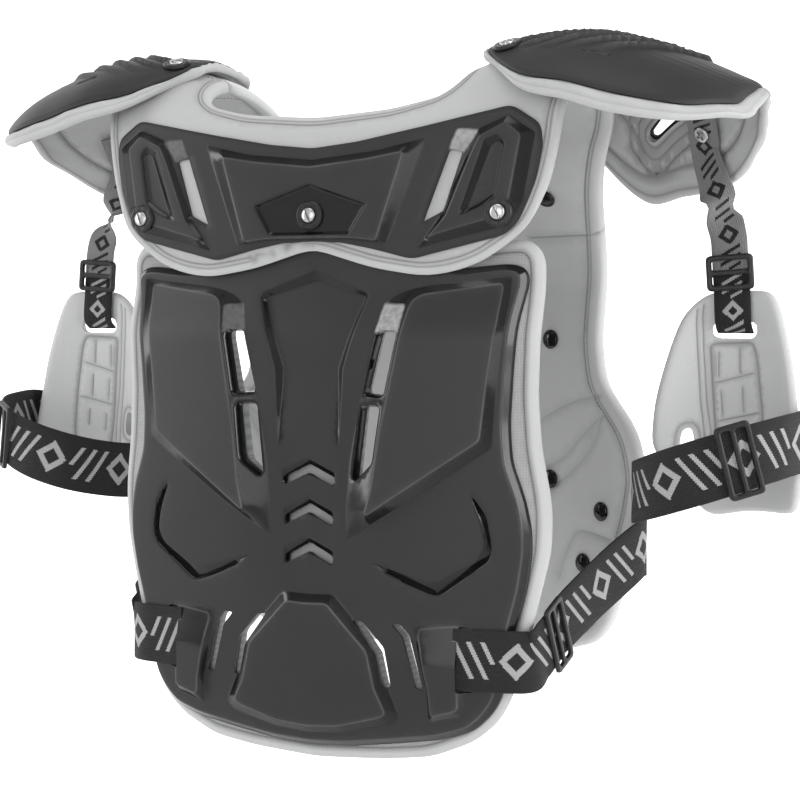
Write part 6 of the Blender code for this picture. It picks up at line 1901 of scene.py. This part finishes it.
def build_stage(floor_colour):
    """A pale floor that curves up all round: a profile turned about the upright axis, seen from inside."""
    bend = np.linspace(0.0, 0.5 * math.pi, 24)
    radius = np.concatenate([[0.0, 900.0, 1800.0, STAGE_RADIUS - STAGE_BEND],
                             STAGE_RADIUS - STAGE_BEND + STAGE_BEND * np.sin(bend[1:]), [STAGE_RADIUS]])
    height = np.concatenate([np.zeros(4), STAGE_BEND * (1.0 - np.cos(bend[1:])), [STAGE_HEIGHT]]) + FLOOR_Z
    turn = np.arange(STAGE_SIDES) * 2 * math.pi / STAGE_SIDES
    shape = (len(radius), STAGE_SIDES)
    points = np.stack([radius[:, None] * np.cos(turn), radius[:, None] * np.sin(turn),
                       np.broadcast_to(height[:, None], shape)], -1).reshape(-1, 3)
    grid = np.arange(len(points)).reshape(shape)
    after = np.roll(grid, -1, 1)
    faces = np.stack([grid[:-1], after[:-1], after[1:], grid[1:]], -1).reshape(-1, 4)
    mesh = bpy.data.meshes.new("floor")
    mesh.from_pydata((points * MM).tolist(), [], faces.tolist())
    mesh.shade_smooth()
    floor = bpy.data.objects.new("floor", mesh)
    bpy.context.scene.collection.objects.link(floor)
    material, tree, shader = new_material("floor_paper", 0.9, specular=0.1)
    shader.inputs["Base Color"].default_value = (*floor_colour, 1.0)
    place = tree.nodes.new("ShaderNodeTexCoord")
    parts = tree.nodes.new("ShaderNodeSeparateXYZ")
    tree.links.new(place.outputs["Object"], parts.inputs[0])
    behind = Wire(tree, parts.outputs["Y"]).through("MULTIPLY_ADD", 1.0, SEAT_GLOW)
    glow = behind.through("MINIMUM", BACKDROP_GLOW).larger(FRONT_GLOW)
    tree.links.new(glow.socket, shader.inputs["Emission Strength"])
    shader.inputs["Emission Color"].default_value = (1.0, 1.0, 1.0, 1.0)
    mesh.materials.append(material)


def add_softbox(name, place, target, wide, high, power):
    lamp = bpy.data.lights.new(name, "AREA")
    lamp.shape, lamp.size, lamp.size_y, lamp.energy = "RECTANGLE", wide, high, power
    item = bpy.data.objects.new(name, lamp)
    bpy.context.scene.collection.objects.link(item)
    item.location = place
    item.rotation_euler = (Vector(target) - Vector(place)).to_track_quat("-Z", "Y").to_euler()


def build_camera():
    camera = bpy.data.cameras.new("camera")
    camera.lens, camera.sensor_width = CAMERA_LENS, 36.0
    item = bpy.data.objects.new("camera", camera)
    item.location = CAMERA_PLACE
    item.rotation_euler = [math.radians(angle) for angle in CAMERA_TURN]
    bpy.context.scene.collection.objects.link(item)
    bpy.context.scene.camera = item


def settle_light():
    """A dim even world, and colours shown as they are."""
    world = bpy.data.worlds.new("studio")
    world.use_nodes = True
    world.node_tree.nodes["Background"].inputs["Color"].default_value = (1.0, 1.0, 1.0, 1.0)
    world.node_tree.nodes["Background"].inputs["Strength"].default_value = WORLD_GLOW
    scene = bpy.context.scene
    scene.world = world
    scene.view_settings.view_transform = "Standard"
    scene.view_settings.exposure = EXPOSURE


def colour_setting(name, description, default):
    return bpy.props.FloatVectorProperty(name=name, description=description, default=default,
                                         subtype="COLOR", size=3, min=0.0, max=1.0)


def length_setting(name, description, default):
    return bpy.props.FloatProperty(name=name, description=description, default=default,
                                   subtype="DISTANCE", unit="LENGTH", min=0.0, precision=5)


class ArmourColours(bpy.types.PropertyGroup):
    """Colours of the vest's plates, cloth and webbing."""
    plate_black: colour_setting("Plate black", "Moulded plastic of the plates", (0.014, 0.014, 0.0145))
    slider_black: colour_setting("Slider black", "Plastic of sliders, washers and rivets", (0.01, 0.01, 0.01))
    lining_grey: colour_setting("Lining grey", "Smooth cloth of the padding", (0.5, 0.503, 0.507))
    # A darker copy of the lining grey for the upper pad and the caps: painted shade that offsets the stronger
    # light falling on them
    shaded_lining_grey: colour_setting("Binding grey", "Cloth of the upper pad and the caps", (0.4, 0.402, 0.405))
    mesh_grey: colour_setting("Mesh grey", "Open cloth of the back padding", (0.4, 0.402, 0.405))
    thread_grey: colour_setting("Thread grey", "Sewing thread", (0.27, 0.27, 0.27))
    web_black: colour_setting("Web black", "Ground of the elastic bands", (0.006, 0.006, 0.0065))
    web_grey: colour_setting("Web grey", "Woven motif of the bands", (0.3, 0.3, 0.3))
    hanging_grey: colour_setting("Hanging grey", "Ground of the hanging straps", (0.13, 0.13, 0.13))
    floor_white: colour_setting("Floor", "Paper of the floor and backdrop", (0.7, 0.7, 0.7))


class ArmourSizes(bpy.types.PropertyGroup):
    """Sizes of the finer marks."""
    stitch_pitch: length_setting("Stitch pitch", "From one stitch to the next", 0.0036)
    stitch_length: length_setting("Stitch length", "Length of one stitch", 0.0026)
    weave_pitch: length_setting("Weave pitch", "Spacing of the twill lines", 0.0011)
    mesh_pitch: length_setting("Mesh pitch", "Spacing of the holes in the open cloth", 0.0021)
    motif_stroke: length_setting("Motif stroke", "Stroke of the woven motif", 0.0036)
    motif_pitch: length_setting("Motif pitch", "Repeat of the woven motif", 0.058)


def settings(context):
    return context.scene.armour_colours, context.scene.armour_sizes


class ARMOUR_OT_lower_plate(bpy.types.Operator):
    """Moulded lower back plate with its vents and raised panels"""
    bl_idname = "armour.lower_plate"
    bl_label = "Lower plate"

    def execute(self, context):
        colours, _ = settings(context)
        build_lower_plate(moulded_plastic("lower_plate_plastic", colours.plate_black))
        return {"FINISHED"}


class ARMOUR_OT_upper_plate(bpy.types.Operator):
    """Moulded upper back plate"""
    bl_idname = "armour.upper_plate"
    bl_label = "Upper plate"

    def execute(self, context):
        colours, _ = settings(context)
        build_upper_plate(moulded_plastic("upper_plate_plastic", colours.plate_black))
        return {"FINISHED"}


class ARMOUR_OT_padding(bpy.types.Operator):
    """Padding behind both back plates, with its stitches"""
    bl_idname = "armour.padding"
    bl_label = "Back padding"

    def execute(self, context):
        colours, sizes = settings(context)
        thread = plain_thread("back_thread", colours.thread_grey)
        build_lower_pad(spacer_cloth("lower_pad_mesh", colours.mesh_grey, sizes.mesh_pitch), thread, sizes)
        cloth = lining_cloth("upper_pad_cloth", colours.shaded_lining_grey, sizes.weave_pitch)
        build_upper_pad(cloth, thread, sizes)
        return {"FINISHED"}


class ARMOUR_OT_chest(bpy.types.Operator):
    """Chest lining, seen from behind, and the plate in front of it"""
    bl_idname = "armour.chest"
    bl_label = "Chest"

    def execute(self, context):
        colours, sizes = settings(context)
        build_chest_lining(lining_cloth("chest_lining_cloth", colours.lining_grey, sizes.weave_pitch),
                           plain_thread("chest_thread", colours.thread_grey), sizes)
        build_chest_shield(moulded_plastic("chest_shield_plastic", colours.plate_black))
        return {"FINISHED"}


class ARMOUR_OT_caps(bpy.types.Operator):
    """Shoulder caps: lobed covers over their foam"""
    bl_idname = "armour.caps"
    bl_label = "Shoulder caps"

    def execute(self, context):
        colours, sizes = settings(context)
        plastic = moulded_plastic("cap_plastic", colours.plate_black, 0.52, 0.25, 0.00012)
        cloth = lining_cloth("cap_cloth", colours.shaded_lining_grey, sizes.weave_pitch)
        for side_name, side in SIDES:
            build_cap(side_name, side, plastic, cloth)
        return {"FINISHED"}


class ARMOUR_OT_guards(bpy.types.Operator):
    """Arm guards: plain covers over pressed foam"""
    bl_idname = "armour.guards"
    bl_label = "Arm guards"

    def execute(self, context):
        colours, sizes = settings(context)
        plastic = moulded_plastic("guard_plastic", colours.plate_black, 0.52, 0.25, 0.00012)
        cloth = lining_cloth("guard_cloth", colours.lining_grey, sizes.weave_pitch)
        for side_name, side in SIDES:
            build_guard(side_name, side, plastic, cloth)
        return {"FINISHED"}


class ARMOUR_OT_bands(bpy.types.Operator):
    """Elastic bands of the waist, the arms and under the caps, with their sliders"""
    bl_idname = "armour.bands"
    bl_label = "Bands"

    def execute(self, context):
        colours, sizes = settings(context)
        plastic = moulded_plastic("slider_plastic", colours.slider_black, 0.36, 0.2, 0.00003)
        metal = bright_metal("hanging_screw_metal")
        stroke, pitch = sizes.motif_stroke, sizes.motif_pitch
        dark, light = colours.web_black, colours.web_grey
        wide = webbing("band_web", dark, light, slant_motif(0.026, pitch, stroke, 0.5))
        small_motif = slant_motif(0.016, 0.6 * pitch, 0.7 * stroke, 0.5)
        upper = webbing("hanging_web_upper", colours.hanging_grey, dark, small_motif)
        lower = webbing("hanging_web_lower", dark, light, small_motif)
        for side_name, side in SIDES:
            build_arm_band(side_name, side, wide, plastic)
            build_waist_band(side_name, side, wide, plastic)
            build_hanger(side_name, side, (upper, lower), plastic, metal)
        return {"FINISHED"}


class ARMOUR_OT_fasteners(bpy.types.Operator):
    """Washers, slotted screws and lining rivets"""
    bl_idname = "armour.fasteners"
    bl_label = "Fasteners"

    def execute(self, context):
        colours, _ = settings(context)
        plastic = moulded_plastic("washer_plastic", colours.slider_black, 0.34, 0.2, 0.00003)
        metal = bright_metal("screw_metal")
        build_yoke_fasteners(plastic, metal)
        build_cap_fasteners(plastic, metal)
        build_lining_rivets(moulded_plastic("rivet_plastic", colours.slider_black, 0.2, 0.08, 0.00001))
        return {"FINISHED"}


class ARMOUR_OT_stage(bpy.types.Operator):
    """Pale floor, softboxes and camera"""
    bl_idname = "armour.stage"
    bl_label = "Stage"

    def execute(self, context):
        colours, _ = settings(context)
        build_stage(colours.floor_white)
        for name, place, wide, high, power in SOFTBOXES:
            add_softbox(name, place, LAMP_TARGET, wide, high, power)
        build_camera()
        settle_light()
        return {"FINISHED"}


PIECE_OPERATORS = (ARMOUR_OT_lower_plate, ARMOUR_OT_upper_plate, ARMOUR_OT_padding, ARMOUR_OT_chest,
                   ARMOUR_OT_caps, ARMOUR_OT_guards, ARMOUR_OT_bands, ARMOUR_OT_fasteners, ARMOUR_OT_stage)


class ARMOUR_PT_looks(bpy.types.Panel):
    """Colours, sizes and pieces of the vest"""
    bl_idname = "ARMOUR_PT_looks"
    bl_label = "Armour looks"
    bl_space_type = "VIEW_3D"
    bl_region_type = "UI"
    bl_category = "Armour"

    def draw(self, context):
        for group in settings(context):
            for name in group.__annotations__:
                self.layout.prop(group, name)
        for operator in PIECE_OPERATORS:
            self.layout.operator(operator.bl_idname)


CLASSES = (ArmourColours, ArmourSizes, *PIECE_OPERATORS, ARMOUR_PT_looks)


def register():
    for item in CLASSES:
        bpy.utils.register_class(item)
    bpy.types.Scene.armour_colours = bpy.props.PointerProperty(type=ArmourColours)
    bpy.types.Scene.armour_sizes = bpy.props.PointerProperty(type=ArmourSizes)


def unregister():
    del bpy.types.Scene.armour_sizes
    del bpy.types.Scene.armour_colours
    for item in reversed(CLASSES):
        bpy.utils.unregister_class(item)


def main():
    register()
    bpy.ops.armour.lower_plate()
    bpy.ops.armour.upper_plate()
    bpy.ops.armour.padding()
    bpy.ops.armour.chest()
    bpy.ops.armour.caps()
    bpy.ops.armour.guards()
    bpy.ops.armour.bands()
    bpy.ops.armour.fasteners()
    bpy.ops.armour.stage()


if __name__ == "__main__":
    main()
